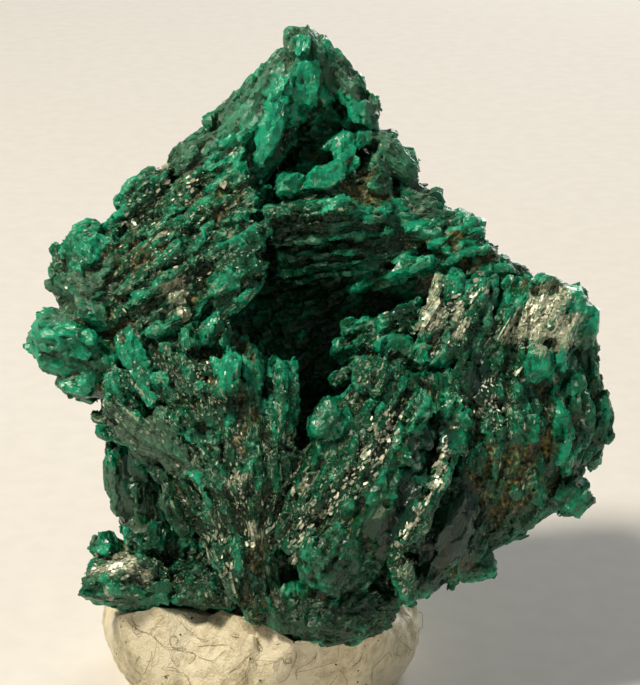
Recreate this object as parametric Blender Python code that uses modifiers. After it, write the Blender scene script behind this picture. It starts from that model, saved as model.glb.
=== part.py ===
"""A euchroite specimen: one cluster of grown-together emerald-green crystals, pressed into a lump of
mounting putty that stands on a flat base.

The cluster is laid out from its display side, as a collector looks at it. Every place is given in
millimetres as (across, up, out): across runs to the right, up runs up the display face, and out comes
towards the eye. seen() turns such a place into the object's own frame: X to the right, Z up, origin in
the middle of the putty's flat underside. Lines of sight spread from an eye at EYE_DISTANCE, so a form
keeps its place on the display face when its depth changes.
"""

import math
import random
from typing import NamedTuple

import bmesh
import bpy
from mathutils import Matrix, Vector

MM = 0.001

# ---- driving dimensions, in millimetres and degrees -------------------------------------------
DISPLAY_TILT = 20.0  # how far the eye looks down on the display face
EYE_DISTANCE = 120.0
DISPLAY_CENTRE = Vector((2.9, -1.0, 18.5))  # middle of the display face, in the object's frame
BACK_SHARE = 0.85  # depths behind the display face are drawn in to this share
PUTTY_RADIUS = (9.2, 8.5)  # half the lump's width and depth where it is widest
PUTTY_HEIGHT = 6.5
PUTTY_BULGE = 2.7  # height at which the lump is widest
UNDERCUT = 1.9  # how far the lump would reach below that, as a share, before it is cut flat
PUTTY_DENTS = 9
DENT_DEPTH = 0.12  # of the deepest kind of dent, as a share of the lump's half width
DENT_PUSH = (0.2, 0.6)  # the shares of that depth that the dents take
DENT_HEIGHT = (-0.4, 0.9)  # how far below and above the lump's middle they lie
DENT_SHARPNESS = 8
PRESS_GAP = 0.4  # room left round the crystals that are pressed into the putty
FLAT_ANGLE = 3.0  # faces that meet at less than this become one face
SLIVER = 0.3  # edges shorter than this are closed up where crystals cross
SAME_WAY = 0.3  # a face whose turned normal keeps this cosine still faces the same way
SEED = 20

PITCH = math.radians(DISPLAY_TILT)
ACROSS = Vector((1, 0, 0))
UP = Vector((0, math.sin(PITCH), math.cos(PITCH)))
OUT = Vector((0, -math.cos(PITCH), math.sin(PITCH)))


def seen(across, up, out):
    """The place in the object's frame, in metres, that shows at across and up and lies out in depth."""
    out *= BACK_SHARE if out < 0 else 1
    spread = (EYE_DISTANCE - out) / EYE_DISTANCE
    place = DISPLAY_CENTRE + ACROSS * across * spread + UP * up * spread + OUT * out
    return place * MM


def facing(across, up, out):
    """A direction given on the display face, as a unit vector in the object's frame."""
    return (ACROSS * across + UP * up + OUT * out).normalized()


# ---- the two crystal forms --------------------------------------------------------------------


class Blade(NamedTuple):
    """A flat crystal that grows along a path, with its broad side turned to a direction."""

    path: tuple
    width: float
    thickness: float
    faces: tuple


class Lump(NamedTuple):
    """A blocky crystal or mass of rock, with its radii along across, up and out, turned on the face."""

    centre: tuple
    radii: tuple
    turn: float = 0.0
    cuts: int = 14


LONG_SECTION = ((1.0, -0.5), (0.6, 1.0), (-0.8, 0.9), (-1.0, -0.6), (0.2, -1.0))
SHORT_SECTION = ((1.0, -0.7), (0.8, 1.0), (-1.0, 0.7), (-0.8, -1.0))
BLADE_SWELL = (0.75, 1.0, 0.5)  # width at the root, the middle and the tip
TIP_SLANT = 0.5  # how far a tip is cut across its width
PLATE_OVERLAP = (0.15, 0.05)  # how far a plate in a row passes its place at each end, as shares of its length
CUT_TURN = 0.35  # how far a lump's cuts are turned out of their even spread, in radians
CUT_DEPTH = (0.8, 1.0)  # how far from its middle a lump is cut, as shares of its radii


def swell(share):
    """A blade's width at a share of its length, as a share of its full width."""
    root, middle, tip = BLADE_SWELL
    if share < 0.5:
        return root + (middle - root) * share * 2
    return middle + (tip - middle) * (share * 2 - 1)


def add_blade(mesh, blade, grow=0.0):
    """Lofts a section along the blade's path: five-sided, or four-sided if the path is one straight run.
    grow makes the blade that much larger all round."""
    places = [seen(*p) for p in blade.path]
    broad = facing(*blade.faces)
    last = len(places) - 1
    section = LONG_SECTION if last > 1 else SHORT_SECTION
    rings = []
    for i, place in enumerate(places):
        along = (places[min(i + 1, last)] - places[max(i - 1, 0)]).normalized()
        side = along.cross(broad).normalized()
        flat = side.cross(along).normalized()
        reach = along * (grow * MM * ((i == last) - (i == 0)))
        half_width = (blade.width / 2 * swell(i / last) + grow) * MM
        half_thick = (blade.thickness / 2 * (0.5 + 0.5 * swell(i / last)) + grow) * MM
        slant = TIP_SLANT * half_width * (i == last)
        ring = []
        for x, y in section:
            corner = side * x * half_width + flat * y * half_thick - along * slant * x
            ring.append(mesh.verts.new(place + reach + corner))
        rings.append(ring)
    sides = len(section)
    for ring, following in zip(rings, rings[1:]):
        for k in range(sides):
            after = (k + 1) % sides
            mesh.faces.new((ring[k], ring[after], following[after], following[k]))
    mesh.faces.new(rings[0][::-1])
    mesh.faces.new(rings[-1])


def add_lump(mesh, lump, rng, grow=0.0):
    """Cuts a cube down to a block of many flat faces inside the lump's ellipsoid."""
    block = bmesh.new()
    bmesh.ops.create_cube(block, size=2.0)
    golden = math.pi * (3 - math.sqrt(5))
    for k in range(lump.cuts):
        height = 1 - 2 * (k + 0.5) / lump.cuts
        ring = math.sqrt(1 - height * height)
        angle = golden * k + rng.uniform(-CUT_TURN, CUT_TURN)
        normal = Vector((ring * math.cos(angle), ring * math.sin(angle), height))
        depth = rng.uniform(*CUT_DEPTH)
        parts = block.verts[:] + block.edges[:] + block.faces[:]
        bmesh.ops.bisect_plane(block, geom=parts, plane_co=normal * depth, plane_no=normal, clear_outer=True)
        rim = [e for e in block.edges if e.is_boundary]
        bmesh.ops.contextual_create(block, geom=rim)
    turn = Matrix.Rotation(math.radians(lump.turn), 3, "Z")
    centre = seen(*lump.centre)
    made = {}
    for vert in block.verts:
        local = turn @ Vector([c * (r + grow) for c, r in zip(vert.co, lump.radii)])
        made[vert] = mesh.verts.new(centre + (ACROSS * local.x + UP * local.y + OUT * local.z) * MM)
    for face in block.faces:
        mesh.faces.new([made[v] for v in face.verts])
    block.free()


def mixed(first, second, share):
    """A number, or nested tuples of numbers, part of the way from first to second."""
    if isinstance(first, tuple):
        return tuple(mixed(a, b, share) for a, b in zip(first, second))
    return first + (second - first) * share


def slipped(place, reach, rng):
    """A place moved a little out of line."""
    return tuple(c + rng.uniform(-reach, reach) for c in place)


def sheaf(count, keys, rng, wobble=0.25):
    """count blades that pass gradually from one key blade to the next, each a little out of line."""
    blades = []
    for k in range(count):
        place = k / (count - 1) * (len(keys) - 1)
        first = min(int(place), len(keys) - 2)
        blade = Blade(*mixed(tuple(keys[first]), tuple(keys[first + 1]), place - first))
        slip = slipped((0, 0, 0), wobble, rng)
        path = [tuple(c + s for c, s in zip(p, slip)) for p in blade.path]
        path[-1] = slipped(path[-1], 2 * wobble, rng)
        size = rng.uniform(0.85, 1.15)
        lean = slipped(blade.faces, 0.15, rng)
        blades.append(Blade(tuple(path), blade.width * size, blade.thickness * size, lean))
    return blades


def shingles(corners, rows, columns, width, thickness, faces, bulge, lift, rng, wobble=0.3):
    """Short plates in overlapping rows over a patch of the face. corners are the patch's lower start,
    lower end, upper start and upper end, and each row of plates runs from a start to an end. bulge
    brings the middle of the patch out, and lift brings out each plate's far end."""
    lower_start, lower_end, upper_start, upper_end = corners

    def on_patch(along, row):
        place = mixed(mixed(lower_start, lower_end, along), mixed(upper_start, upper_end, along), row)
        swelling = bulge * 16 * along * (1 - along) * row * (1 - row)
        return (place[0], place[1], place[2] + swelling)

    plates = []
    for row in range(rows):
        share = (row + 0.5) / rows
        shift = rng.uniform(-0.25, 0.25)
        for column in range(columns):
            begin = on_patch(max(0.0, (column + shift - PLATE_OVERLAP[0]) / columns), share)
            end = on_patch(min(1.0, (column + 1 + shift + PLATE_OVERLAP[1]) / columns), share)
            begin = slipped(begin, wobble, rng)
            end = slipped((end[0], end[1], end[2] + lift), wobble, rng)
            size = rng.uniform(0.8, 1.2)
            lean = slipped(faces, 0.25, rng)
            plates.append(Blade((begin, end), width * size, thickness * size, lean))
    return plates


# ---- the cluster, region by region --------------------------------------------------------------


def core():
    """The solid masses that the crystals grew from, one for each main swelling."""
    return [
        Lump((0.0, 9.8, -6.0), (2.5, 3.9, 2.8)),
        Lump((-3.6, 10.0, -3.8), (2.0, 2.9, 3.0), turn=-42),
        Lump((-6.6, 5.0, -3.6), (5.0, 3.2, 3.4), turn=38),
        Lump((-10.0, 2.0, -3.4), (3.2, 3.4, 3.4)),
        Lump((-5.8, -2.6, -0.6), (3.4, 4.2, 3.2), turn=35),
        Lump((-3.4, -8.6, -1.2), (2.2, 4.6, 3.0), turn=18),
        Lump((0.4, 0.4, -8.2), (10.2, 8.4, 4.0), cuts=22),
        Lump((2.2, -7.0, 0.2), (3.0, 4.6, 3.2), turn=-35),
        Lump((9.2, -1.8, -3.8), (4.2, 4.8, 3.8), cuts=18),
        Lump((4.2, 4.6, -4.6), (4.4, 3.0, 3.2), turn=-38),
        Lump((7.0, -7.2, -2.2), (3.6, 3.2, 3.6), turn=30),
        Lump((-8.4, -7.2, -4.6), (1.8, 3.9, 3.0)),
        Lump((-0.6, -7.8, -6.4), (7.0, 5.4, 3.8), cuts=18),
    ]


def peak(rng):
    """The pointed top: two bright slabs down its left, a dark hollow, and a rough flank on each side."""
    flank = sheaf(
        4,
        [
            Blade(((-0.8, 14.9, -2.6), (-2.6, 13.0, -2.8), (-5.2, 10.8, -2.6)), 1.8, 1.2, (-0.5, 0.5, 0.7)),
            Blade(((-0.6, 14.8, -4.6), (-2.8, 12.6, -5.0), (-6.0, 9.8, -5.0)), 2.0, 1.4, (-0.7, 0.7, 0.0)),
        ],
        rng,
        0.15,
    )
    right_flank = sheaf(
        4,
        [
            Blade(((-0.4, 14.9, -1.8), (0.9, 13.6, -2.0), (1.9, 11.8, -2.0)), 1.5, 1.2, (0.5, 0.4, 0.8)),
            Blade(((0.0, 14.2, -4.4), (1.4, 12.4, -4.6), (2.4, 10.6, -4.6)), 2.4, 1.4, (0.8, 0.4, 0.0)),
        ],
        rng,
        0.12,
    )
    return (
        flank
        + right_flank
        + [
            Lump((-0.8, 14.5, -2.2), (1.0, 1.2, 1.5), cuts=12),
            Lump((-0.95, 14.6, -1.0), (0.6, 0.6, 0.6), cuts=10),
            Blade(((-0.7, 13.9, -1.0), (-0.8, 13.0, -0.6), (-0.6, 11.9, -0.8)), 1.3, 0.9, (0.1, 0.2, 1)),
            Blade(((-1.6, 13.5, -0.9), (-3.0, 11.8, -0.3), (-4.0, 10.2, -0.1)), 1.1, 1.0, (-0.4, 0.3, 1)),
            Blade(((-1.9, 12.6, -0.6), (-2.4, 10.9, 0.1), (-3.1, 9.1, 0.3)), 1.1, 1.0, (0.1, 0.1, 1)),
            Lump((-0.3, 13.0, -3.4), (1.4, 1.7, 1.7), cuts=12),
            Lump((-1.5, 12.2, -1.9), (1.1, 1.9, 1.2), turn=-25, cuts=12),
            Lump((2.2, 11.4, -2.9), (0.8, 1.1, 1.3), turn=-30, cuts=12),
            Lump((1.6, 12.6, -2.4), (0.7, 0.9, 1.0), turn=-30, cuts=10),
        ]
    )


def ledges(rng):
    """Under the hollow: a thin shelf, a bright angular ledge, and beds that overhang the cleft."""
    beds = sheaf(
        6,
        [
            Blade(((-2.6, 6.6, 0.4), (1.2, 6.9, 0.3), (4.4, 7.2, -1.0)), 3.0, 0.8, (-0.1, 1, 0.25)),
            Blade(((-2.2, 4.9, -0.8), (1.4, 5.4, -0.7), (5.0, 6.0, -0.9)), 3.0, 0.8, (-0.15, 1, 0.2)),
            Blade(((-1.8, 3.1, -2.6), (1.8, 3.8, -2.2), (5.2, 4.5, -1.2)), 3.0, 0.8, (-0.2, 1, 0.1)),
        ],
        rng,
        0.15,
    )
    return beds + [
        Blade(((-0.2, 9.8, -2.6), (1.6, 10.1, -2.2), (3.7, 10.3, -3.0)), 2.6, 0.5, (0, 1, 0.2)),
        Blade(((1.35, 10.0, -1.5), (1.25, 9.2, -1.0), (1.1, 8.4, -0.8)), 0.9, 0.9, (0.2, 0, 1)),
        Blade(((1.4, 8.7, -0.9), (0.3, 8.3, -0.2), (-0.8, 7.9, -0.1)), 0.9, 0.9, (-0.2, 0.3, 1)),
        Lump((0.4, 7.6, -1.4), (2.2, 1.0, 1.5), turn=10),
        Lump((-1.5, 7.8, -0.4), (0.8, 0.7, 0.9), cuts=10),
        Lump((0.7, 6.7, 0.7), (0.8, 0.5, 0.7), cuts=10),
        Lump((2.6, 7.6, -1.6), (1.0, 1.3, 1.4), turn=-20, cuts=12),
        Lump((3.2, 9.3, -2.8), (0.9, 1.1, 1.6), cuts=12),
        Lump((4.2, 8.7, -3.0), (0.8, 0.9, 1.6), cuts=12),
    ]


def shoulder(rng):
    """The left shoulder: plates that strike up to the right, with thick bright ones at the cleft's lip."""
    lip = sheaf(
        4,
        [
            Blade(((-5.2, 1.4, 0.6), (-4.1, 2.3, 1.6), (-2.9, 3.3, 1.3)), 0.95, 0.8, (0.2, -0.3, 1)),
            Blade(((-5.8, 2.6, 1.0), (-4.6, 3.2, 2.0), (-3.0, 4.4, 1.6)), 1.0, 0.9, (0.2, 0, 1)),
            Blade(((-5.6, 3.6, 1.0), (-4.0, 4.6, 1.8), (-2.4, 5.9, 1.2)), 1.3, 0.9, (0.2, 0.1, 1)),
        ],
        rng,
        0.1,
    )
    plates = shingles(
        ((-9.6, -1.0, 0.6), (-3.2, 3.6, 0.6), (-12.2, 4.9, -2.2), (-3.4, 10.2, -1.2)),
        rows=7,
        columns=4,
        width=1.5,
        thickness=1.05,
        faces=(-0.4, 0.5, 1),
        bulge=1.5,
        lift=0.35,
        rng=rng,
        wobble=0.2,
    )
    return (
        lip
        + plates
        + [
            Lump((-6.4, 9.3, -2.6), (1.6, 0.9, 1.8), turn=38, cuts=12),
            Lump((-8.6, 7.5, -2.6), (1.6, 1.0, 1.8), turn=42, cuts=12),
            Lump((-11.6, 4.4, -2.0), (1.6, 1.4, 1.8), turn=30, cuts=12),
        ]
    )


def left_tip(rng):
    """The rounded lobe at the far left, and the smaller ones under it."""
    spikes = sheaf(
        3,
        [
            Blade(((-10.8, 1.3, -1.6), (-12.1, 2.1, -1.6), (-13.3, 2.9, -1.8)), 1.5, 1.0, (-0.2, 0.4, 1)),
            Blade(((-10.6, 3.2, -1.8), (-11.8, 4.2, -2.0), (-13.0, 5.0, -2.4)), 1.6, 1.2, (-0.2, 0.6, 1)),
        ],
        rng,
        0.1,
    )
    return spikes + [
        Lump((-12.5, 0.0, -2.0), (2.2, 1.8, 2.2), turn=-10, cuts=18),
        Lump((-11.9, -1.9, -1.6), (1.2, 1.1, 1.3), turn=-20),
        Lump((-10.8, -1.2, -0.6), (1.6, 1.6, 1.4)),
        Lump((-9.4, -2.6, -0.6), (1.7, 1.5, 2.0)),
        Blade(((-9.9, 0.6, 0.8), (-9.2, -0.8, 1.3), (-8.3, -2.2, 1.4)), 1.0, 0.8, (-0.3, 0, 1)),
        Lump((-5.2, 0.5, 1.6), (0.7, 0.9, 0.8), cuts=10),
        Lump((-6.3, 0.2, 1.7), (0.6, 0.8, 0.7), cuts=10),
    ]


def fan(rng):
    """The fan left of the cleft: long plates that spread upwards from one point near the foot."""
    rays = sheaf(
        10,
        [
            Blade(((-3.6, -12.6, 0.6), (-6.0, -8.6, 1.4), (-10.0, -3.7, 0.2)), 1.5, 0.8, (0.5, 0.6, 0.8)),
            Blade(((-3.3, -12.8, 0.9), (-5.4, -7.2, 2.5), (-8.4, -2.2, 1.6)), 1.5, 0.8, (0.7, 0.5, 0.6)),
            Blade(((-3.0, -13.0, 1.2), (-4.2, -6.6, 3.0), (-5.6, -1.2, 2.4)), 1.5, 0.8, (0.9, 0.2, 0.4)),
            Blade(((-2.8, -13.0, 1.2), (-3.2, -6.4, 3.0), (-3.7, -0.4, 2.0)), 1.5, 0.8, (1, 0, 0.3)),
            Blade(((-2.6, -12.6, 1.0), (-2.0, -6.8, 2.4), (-1.5, -1.0, 0.8)), 1.5, 0.8, (1, 0, -0.2)),
        ],
        rng,
        0.15,
    )
    crust = shingles(
        ((-7.0, -5.0, 2.2), (-4.2, -5.4, 2.9), (-9.4, -1.6, 1.0), (-3.6, -0.4, 2.2)),
        rows=4,
        columns=3,
        width=1.3,
        thickness=0.9,
        faces=(-0.2, 0.5, 1),
        bulge=0.5,
        lift=0.4,
        rng=rng,
        wobble=0.25,
    )
    return (
        rays
        + crust
        + [
            Blade(((-11.2, -3.7, -0.6), (-8.6, -4.7, 0.9), (-5.8, -6.6, 2.4)), 1.9, 0.9, (-0.3, -0.6, 0.75)),
            Blade(((-1.7, -5.6, 2.6), (-1.6, -2.8, 2.2), (-1.8, -1.0, 1.2)), 1.1, 0.7, (0.5, 0, 1)),
            Blade(((-5.6, -4.0, 2.9), (-4.5, -2.0, 3.3), (-4.4, -0.5, 2.8)), 1.0, 0.7, (0.3, 0, 1)),
            Lump((-1.5, -6.0, 2.3), (0.5, 0.8, 0.6), cuts=10),
            Lump((-4.0, -10.8, 2.2), (0.6, 0.9, 0.7), turn=20, cuts=10),
            Blade(((-5.0, -9.6, 1.8), (-4.7, -11.2, 1.8), (-4.2, -12.8, 1.2)), 0.9, 0.7, (-0.5, 0, 1)),
        ]
    )


def lower_left(rng):
    """The block behind the fan, its smooth columns, and the foot that stands in the putty."""
    columns = sheaf(
        3,
        [
            Blade(((-10.0, -4.6, -2.4), (-9.9, -6.8, -2.0), (-9.5, -8.8, -2.0)), 1.5, 1.6, (-0.5, 0, 1)),
            Blade(((-8.6, -5.0, -1.6), (-8.3, -7.4, -1.2), (-8.0, -9.4, -1.4)), 1.5, 1.4, (0, 0, 1)),
        ],
        rng,
        0.1,
    )
    foot = [
        Lump((-9.2, -11.6, -2.2), (2.4, 1.7, 2.4), cuts=16),
        Lump((-10.6, -10.2, -1.8), (0.75, 0.65, 0.9), cuts=10),
        Lump((-11.0, -12.2, -1.6), (0.7, 0.8, 0.9), cuts=10),
        Lump((-8.6, -9.6, -1.6), (1.3, 1.0, 1.2), cuts=12),
        Lump((-6.6, -11.4, -4.2), (3.0, 2.2, 2.6)),
        Lump((-5.6, -12.2, -1.6), (2.2, 1.2, 2.2), cuts=12),
    ]
    return columns + foot


def rose(rng):
    """The lower centre: curved plates nested like petals, open to the upper left."""
    petals = sheaf(
        8,
        [
            Blade(((1.4, -2.8, 1.8), (-0.1, -5.4, 2.9), (-2.2, -9.4, 2.4)), 1.9, 0.8, (-0.8, 0.5, 0.5)),
            Blade(((3.2, -1.2, 2.2), (1.4, -5.6, 4.1), (-1.3, -10.4, 3.2)), 2.2, 0.9, (-0.5, 0.4, 0.8)),
            Blade(((4.4, -3.2, 2.8), (2.8, -7.2, 4.7), (0.0, -11.8, 3.6)), 2.2, 0.9, (-0.3, 0.2, 1)),
            Blade(((5.2, -4.6, 3.0), (3.8, -8.6, 4.4), (1.6, -12.4, 3.0)), 2.2, 0.9, (0.4, -0.3, 0.9)),
        ],
        rng,
        0.12,
    )
    between = shingles(
        ((3.6, -3.4, 1.6), (7.0, -3.2, 1.6), (2.6, -0.2, 0.2), (6.8, -0.2, 1.0)),
        rows=3,
        columns=2,
        width=1.4,
        thickness=1.0,
        faces=(0, 0.3, 1),
        bulge=0.4,
        lift=0.3,
        rng=rng,
    )
    return petals + between + [
        Lump((0.6, -4.2, 2.6), (1.1, 1.4, 1.1), turn=-25, cuts=14),
        Lump((2.5, -1.8, 2.4), (1.0, 1.1, 1.0), turn=-15, cuts=14),
        Lump((0.6, -10.6, 3.3), (1.7, 1.9, 1.5), turn=-15, cuts=16),
        Blade(((6.4, -5.3, 2.8), (5.2, -8, 4.2), (3.7, -10.4, 4.3), (4.5, -13, 2.4)), 1.3, 1.2, (0.1, 0, 1)),
        Blade(((7.6, -6.2, 1.8), (6.6, -9.0, 2.8), (5.4, -12.0, 1.6)), 2.2, 1.2, (0.5, -0.3, 0.9)),
        Blade(((8.0, -8.2, 0.6), (7.2, -10.4, 1.0), (6.2, -11.8, 0.6)), 2.2, 1.4, (0.5, -0.4, 0.8)),
        Lump((7.6, -10.9, -0.4), (1.2, 1.1, 1.3), turn=30, cuts=12),
        Lump((4.9, -11.3, 0.6), (1.3, 1.3, 1.5), turn=30, cuts=12),
        Lump((0.6, -13.2, 1.2), (3.6, 1.9, 2.4), cuts=16),
        Lump((-2.4, -12.8, 0.4), (1.6, 1.3, 1.8), cuts=12),
    ]


def right_lobe(rng):
    """The broad lobe on the right: slanted plates above, curved ones round its bulge."""
    slanted = shingles(
        ((4.6, -0.8, 1.4), (5.8, 3.4, 0.6), (12.2, -1.4, 0.8), (12.4, 3.0, -1.2)),
        rows=8,
        columns=2,
        width=1.3,
        thickness=0.8,
        faces=(-0.5, 0.3, 1),
        bulge=0.6,
        lift=0.3,
        rng=rng,
        wobble=0.2,
    )
    onion = sheaf(
        6,
        [
            Blade(((7.0, -1.6, 1.2), (7.2, -4.2, 2.2), (7.4, -6.4, 1.8)), 1.4, 0.9, (0, 0, 1)),
            Blade(((9.8, -1.0, 1.0), (10.8, -4.4, 1.6), (9.6, -7.4, 1.2)), 1.5, 0.9, (0.4, 0, 1)),
            Blade(((12.0, -0.6, -0.2), (13.0, -4.2, 0.0), (11.6, -8.0, 0.0)), 1.7, 1.1, (0.8, 0, 0.7)),
        ],
        rng,
        0.15,
    )
    rim = sheaf(
        5,
        [
            Blade(((11.0, 2.8, -2.8), (12.6, 2.1, -2.6), (13.6, -0.4, -2.4)), 1.9, 1.4, (0.7, 0.5, 0.6)),
            Blade(((13.2, -0.6, -2.4), (13.8, -3.6, -2.4), (13.2, -6.0, -2.0)), 2.0, 1.4, (1, 0, 0.3)),
            Blade(((13.0, -4.4, -1.6), (12.2, -7.2, -1.2), (10.4, -8.7, -1.2)), 1.9, 1.4, (0.6, -0.6, 0.6)),
        ],
        rng,
        0.1,
    )
    return (
        slanted
        + onion
        + rim
        + [
            Lump((9.0, -6.4, 0.6), (2.4, 2.6, 1.6), turn=20, cuts=16),
            Lump((9.0, -8.8, -0.8), (2.3, 1.3, 1.8), turn=28, cuts=14),
            Lump((12.5, -7.5, -0.6), (0.9, 1.1, 1.1), turn=-20, cuts=12),
            Lump((12.9, 1.2, -1.6), (1.0, 1.7, 1.4), turn=15, cuts=14),
            Lump((6.8, -4.3, 2.0), (0.7, 1.1, 0.8), cuts=10),
            Lump((10.9, -1.0, 1.2), (0.6, 1.0, 0.7), cuts=10),
        ]
    )


def upper_right(rng):
    """The stepped edge that falls from the peak to the right lobe, and the rubble inside it."""
    steps = sheaf(
        6,
        [
            Blade(((3.2, 6.5, -2.0), (4.4, 7.2, -2.4), (5.2, 7.4, -3.2)), 1.8, 1.6, (0.3, 0.6, 0.8)),
            Blade(((4.8, 5.1, -0.8), (6.4, 5.9, -1.6), (7.4, 6.0, -2.6)), 1.8, 1.5, (0.4, 0.6, 0.8)),
            Blade(((7.2, 3.2, -0.2), (8.8, 3.7, -1.2), (10.3, 3.2, -2.4)), 1.8, 1.4, (0.4, 0.6, 0.8)),
        ],
        rng,
        0.15,
    )
    rubble = shingles(
        ((0.8, -2.2, -1.4), (4.8, -0.6, 1.0), (1.6, 3.4, -1.6), (5.8, 4.6, -0.2)),
        rows=5,
        columns=3,
        width=1.2,
        thickness=1.0,
        faces=(-0.2, 0.4, 1),
        bulge=0.2,
        lift=0.3,
        rng=rng,
        wobble=0.3,
    )
    return steps + rubble + [Lump((6.8, 3.2, -3.2), (2.8, 1.7, 2.4), turn=-35)]


def back(rng):
    """The side away from the display: broad bosses, curved ribs over the upper two, plates below."""
    left_ribs = sheaf(
        5,
        [
            Blade(((-1.6, 11.4, -6.6), (-6.4, 7.4, -8.6), (-10.4, 2.2, -5.6)), 2.2, 1.2, (-0.5, 0.5, -0.7)),
            Blade(((0.6, 9.4, -8.6), (-3.4, 4.6, -11.6), (-7.2, -1.6, -9.4)), 2.4, 1.3, (-0.4, 0.3, -0.9)),
            Blade(((1.4, 6.4, -10.4), (-0.6, 1.4, -12.2), (-3.2, -4.4, -11.0)), 2.4, 1.3, (0.2, 0, -1)),
        ],
        rng,
        0.4,
    )
    right_ribs = sheaf(
        5,
        [
            Blade(((2.8, 7.2, -7.4), (7.2, 3.4, -9.0), (11.4, -0.8, -5.6)), 2.2, 1.3, (0.6, 0.5, -0.7)),
            Blade(((2.4, 4.0, -10.6), (6.8, -0.4, -11.4), (10.6, -4.6, -7.4)), 2.4, 1.4, (0.4, 0.1, -0.9)),
        ],
        rng,
        0.4,
    )
    left_plates = shingles(
        ((-8.8, -4.4, -6.6), (-3.4, -8.2, -8.6), (-7.0, 0.4, -9.2), (-1.0, -3.6, -11.0)),
        rows=3,
        columns=3,
        width=1.7,
        thickness=1.2,
        faces=(-0.3, -0.2, -1),
        bulge=-0.8,
        lift=-0.5,
        rng=rng,
    )
    right_plates = shingles(
        ((3.0, -10.4, -7.0), (9.4, -6.2, -6.4), (0.8, -4.6, -11.0), (8.0, -2.4, -10.0)),
        rows=3,
        columns=2,
        width=1.9,
        thickness=1.3,
        faces=(0.3, -0.2, -1),
        bulge=-0.8,
        lift=-0.5,
        rng=rng,
    )
    bosses = [
        Lump((-3.8, 3.4, -7.8), (4.8, 5.2, 2.7), cuts=20),
        Lump((6.0, -0.6, -7.4), (4.8, 4.4, 2.4), cuts=20),
        Lump((-5.2, -3.4, -6.6), (3.8, 4.2, 3.0), cuts=18),
        Lump((1.0, -6.8, -7.6), (5.2, 4.0, 2.4), cuts=18),
        Lump((-0.4, -11.6, -5.6), (5.4, 2.6, 3.4), cuts=16),
        Lump((1.8, 4.6, -9.8), (1.6, 2.0, 1.6), cuts=14),
        Lump((-9.2, 1.2, -6.4), (1.8, 2.2, 1.8), cuts=14),
    ]
    return left_ribs + right_ribs + left_plates + right_plates + bosses


def cluster_solids():
    """Every crystal and mass of the cluster, in growing order."""
    rng = random.Random(SEED)
    solids = core()
    for region in (peak, ledges, shoulder, left_tip, fan, lower_left, rose, right_lobe, upper_right, back):
        solids += region(rng)
    return solids


# ---- making the objects -------------------------------------------------------------------------


def mesh_of(solids, grow=0.0):
    """One mesh that holds each of these solids as a closed island."""
    work = bmesh.new()
    for number, solid in enumerate(solids):
        if isinstance(solid, Lump):
            add_lump(work, solid, random.Random(SEED + number), grow)
        else:
            add_blade(work, solid, grow)
    bmesh.ops.recalc_face_normals(work, faces=work.faces)
    mesh = bpy.data.meshes.new("crystals")
    work.to_mesh(mesh)
    work.free()
    return mesh


def new_object(name, mesh, collection):
    made = bpy.data.objects.new(name, mesh)
    collection.objects.link(made)
    return made


def hidden_cutter(name, mesh, collection):
    cutter = new_object(name, mesh, collection)
    cutter.hide_render = True
    cutter.display_type = "WIRE"
    return cutter


def applied(made):
    """Turns the object's modifiers into its mesh."""
    evaluated = made.evaluated_get(bpy.context.evaluated_depsgraph_get())
    mesh = bpy.data.meshes.new_from_object(evaluated)
    made.modifiers.clear()
    made.data = mesh


def islands(work):
    """The closed shells of a bmesh, each as a list of vertices, the widest first."""
    left = set(work.verts)
    found = []
    while left:
        shell = {left.pop()}
        edge = list(shell)
        while edge:
            vert = edge.pop()
            fresh = [e.other_vert(vert) for e in vert.link_edges]
            fresh = [v for v in fresh if v not in shell]
            shell.update(fresh)
            edge.extend(fresh)
        left -= shell
        found.append(list(shell))
    return sorted(found, key=lambda shell: -max(v.co.x for v in shell) + min(v.co.x for v in shell))


def keep_outer_skin(made):
    """Drops every shell but the widest, so nothing is sealed inside or left loose."""
    work = bmesh.new()
    work.from_mesh(made.data)
    for shell in islands(work)[1:]:
        bmesh.ops.delete(work, geom=shell, context="VERTS")
    work.to_mesh(made.data)
    work.free()


def fused(name, solids, collection, cutters, grow=0.0):
    """One object with a single skin round all these overlapping solids."""
    made = new_object(name, mesh_of(solids[1:], grow), collection)
    first = hidden_cutter(name + "_first", mesh_of(solids[:1], grow), cutters)
    join = made.modifiers.new("join", "BOOLEAN")
    join.operation = "UNION"
    join.use_self = True
    join.object = first
    applied(made)
    keep_outer_skin(made)
    return made


# ---- the two pieces -----------------------------------------------------------------------------


def keeps_facing(vert, target, other):
    """Whether vert's faces, apart from those that other shares, still face the same way at target."""
    for face in vert.link_faces:
        if other in face.verts:
            continue
        corners = [target if v is vert else v.co for v in face.verts]
        turned = (corners[1] - corners[0]).cross(corners[2] - corners[0])
        if turned.length == 0 or turned.normalized().dot(face.normal) < SAME_WAY:
            return False
    return True


def close_slivers(work, shortest):
    """Closes the edges shorter than this wherever the skin stays one closed surface."""
    short = sorted((e for e in work.edges if e.calc_length() < shortest), key=lambda e: e.calc_length())
    for edge in short:
        if not edge.is_valid:
            continue
        first, second = edge.verts
        for kept, moved in ((first, second), (second, first)):
            around_kept = {e.other_vert(kept) for e in kept.link_edges}
            around_moved = {e.other_vert(moved) for e in moved.link_edges}
            if len(around_kept & around_moved) == 2 and keeps_facing(moved, kept.co, kept):
                bmesh.ops.pointmerge(work, verts=[kept, moved], merge_co=kept.co.copy())
                break


def runs(face, start, end):
    """Whether the face's outline goes from start straight to end."""
    return any(loop.vert is start and loop.link_loop_next.vert is end for loop in face.loops)


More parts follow.
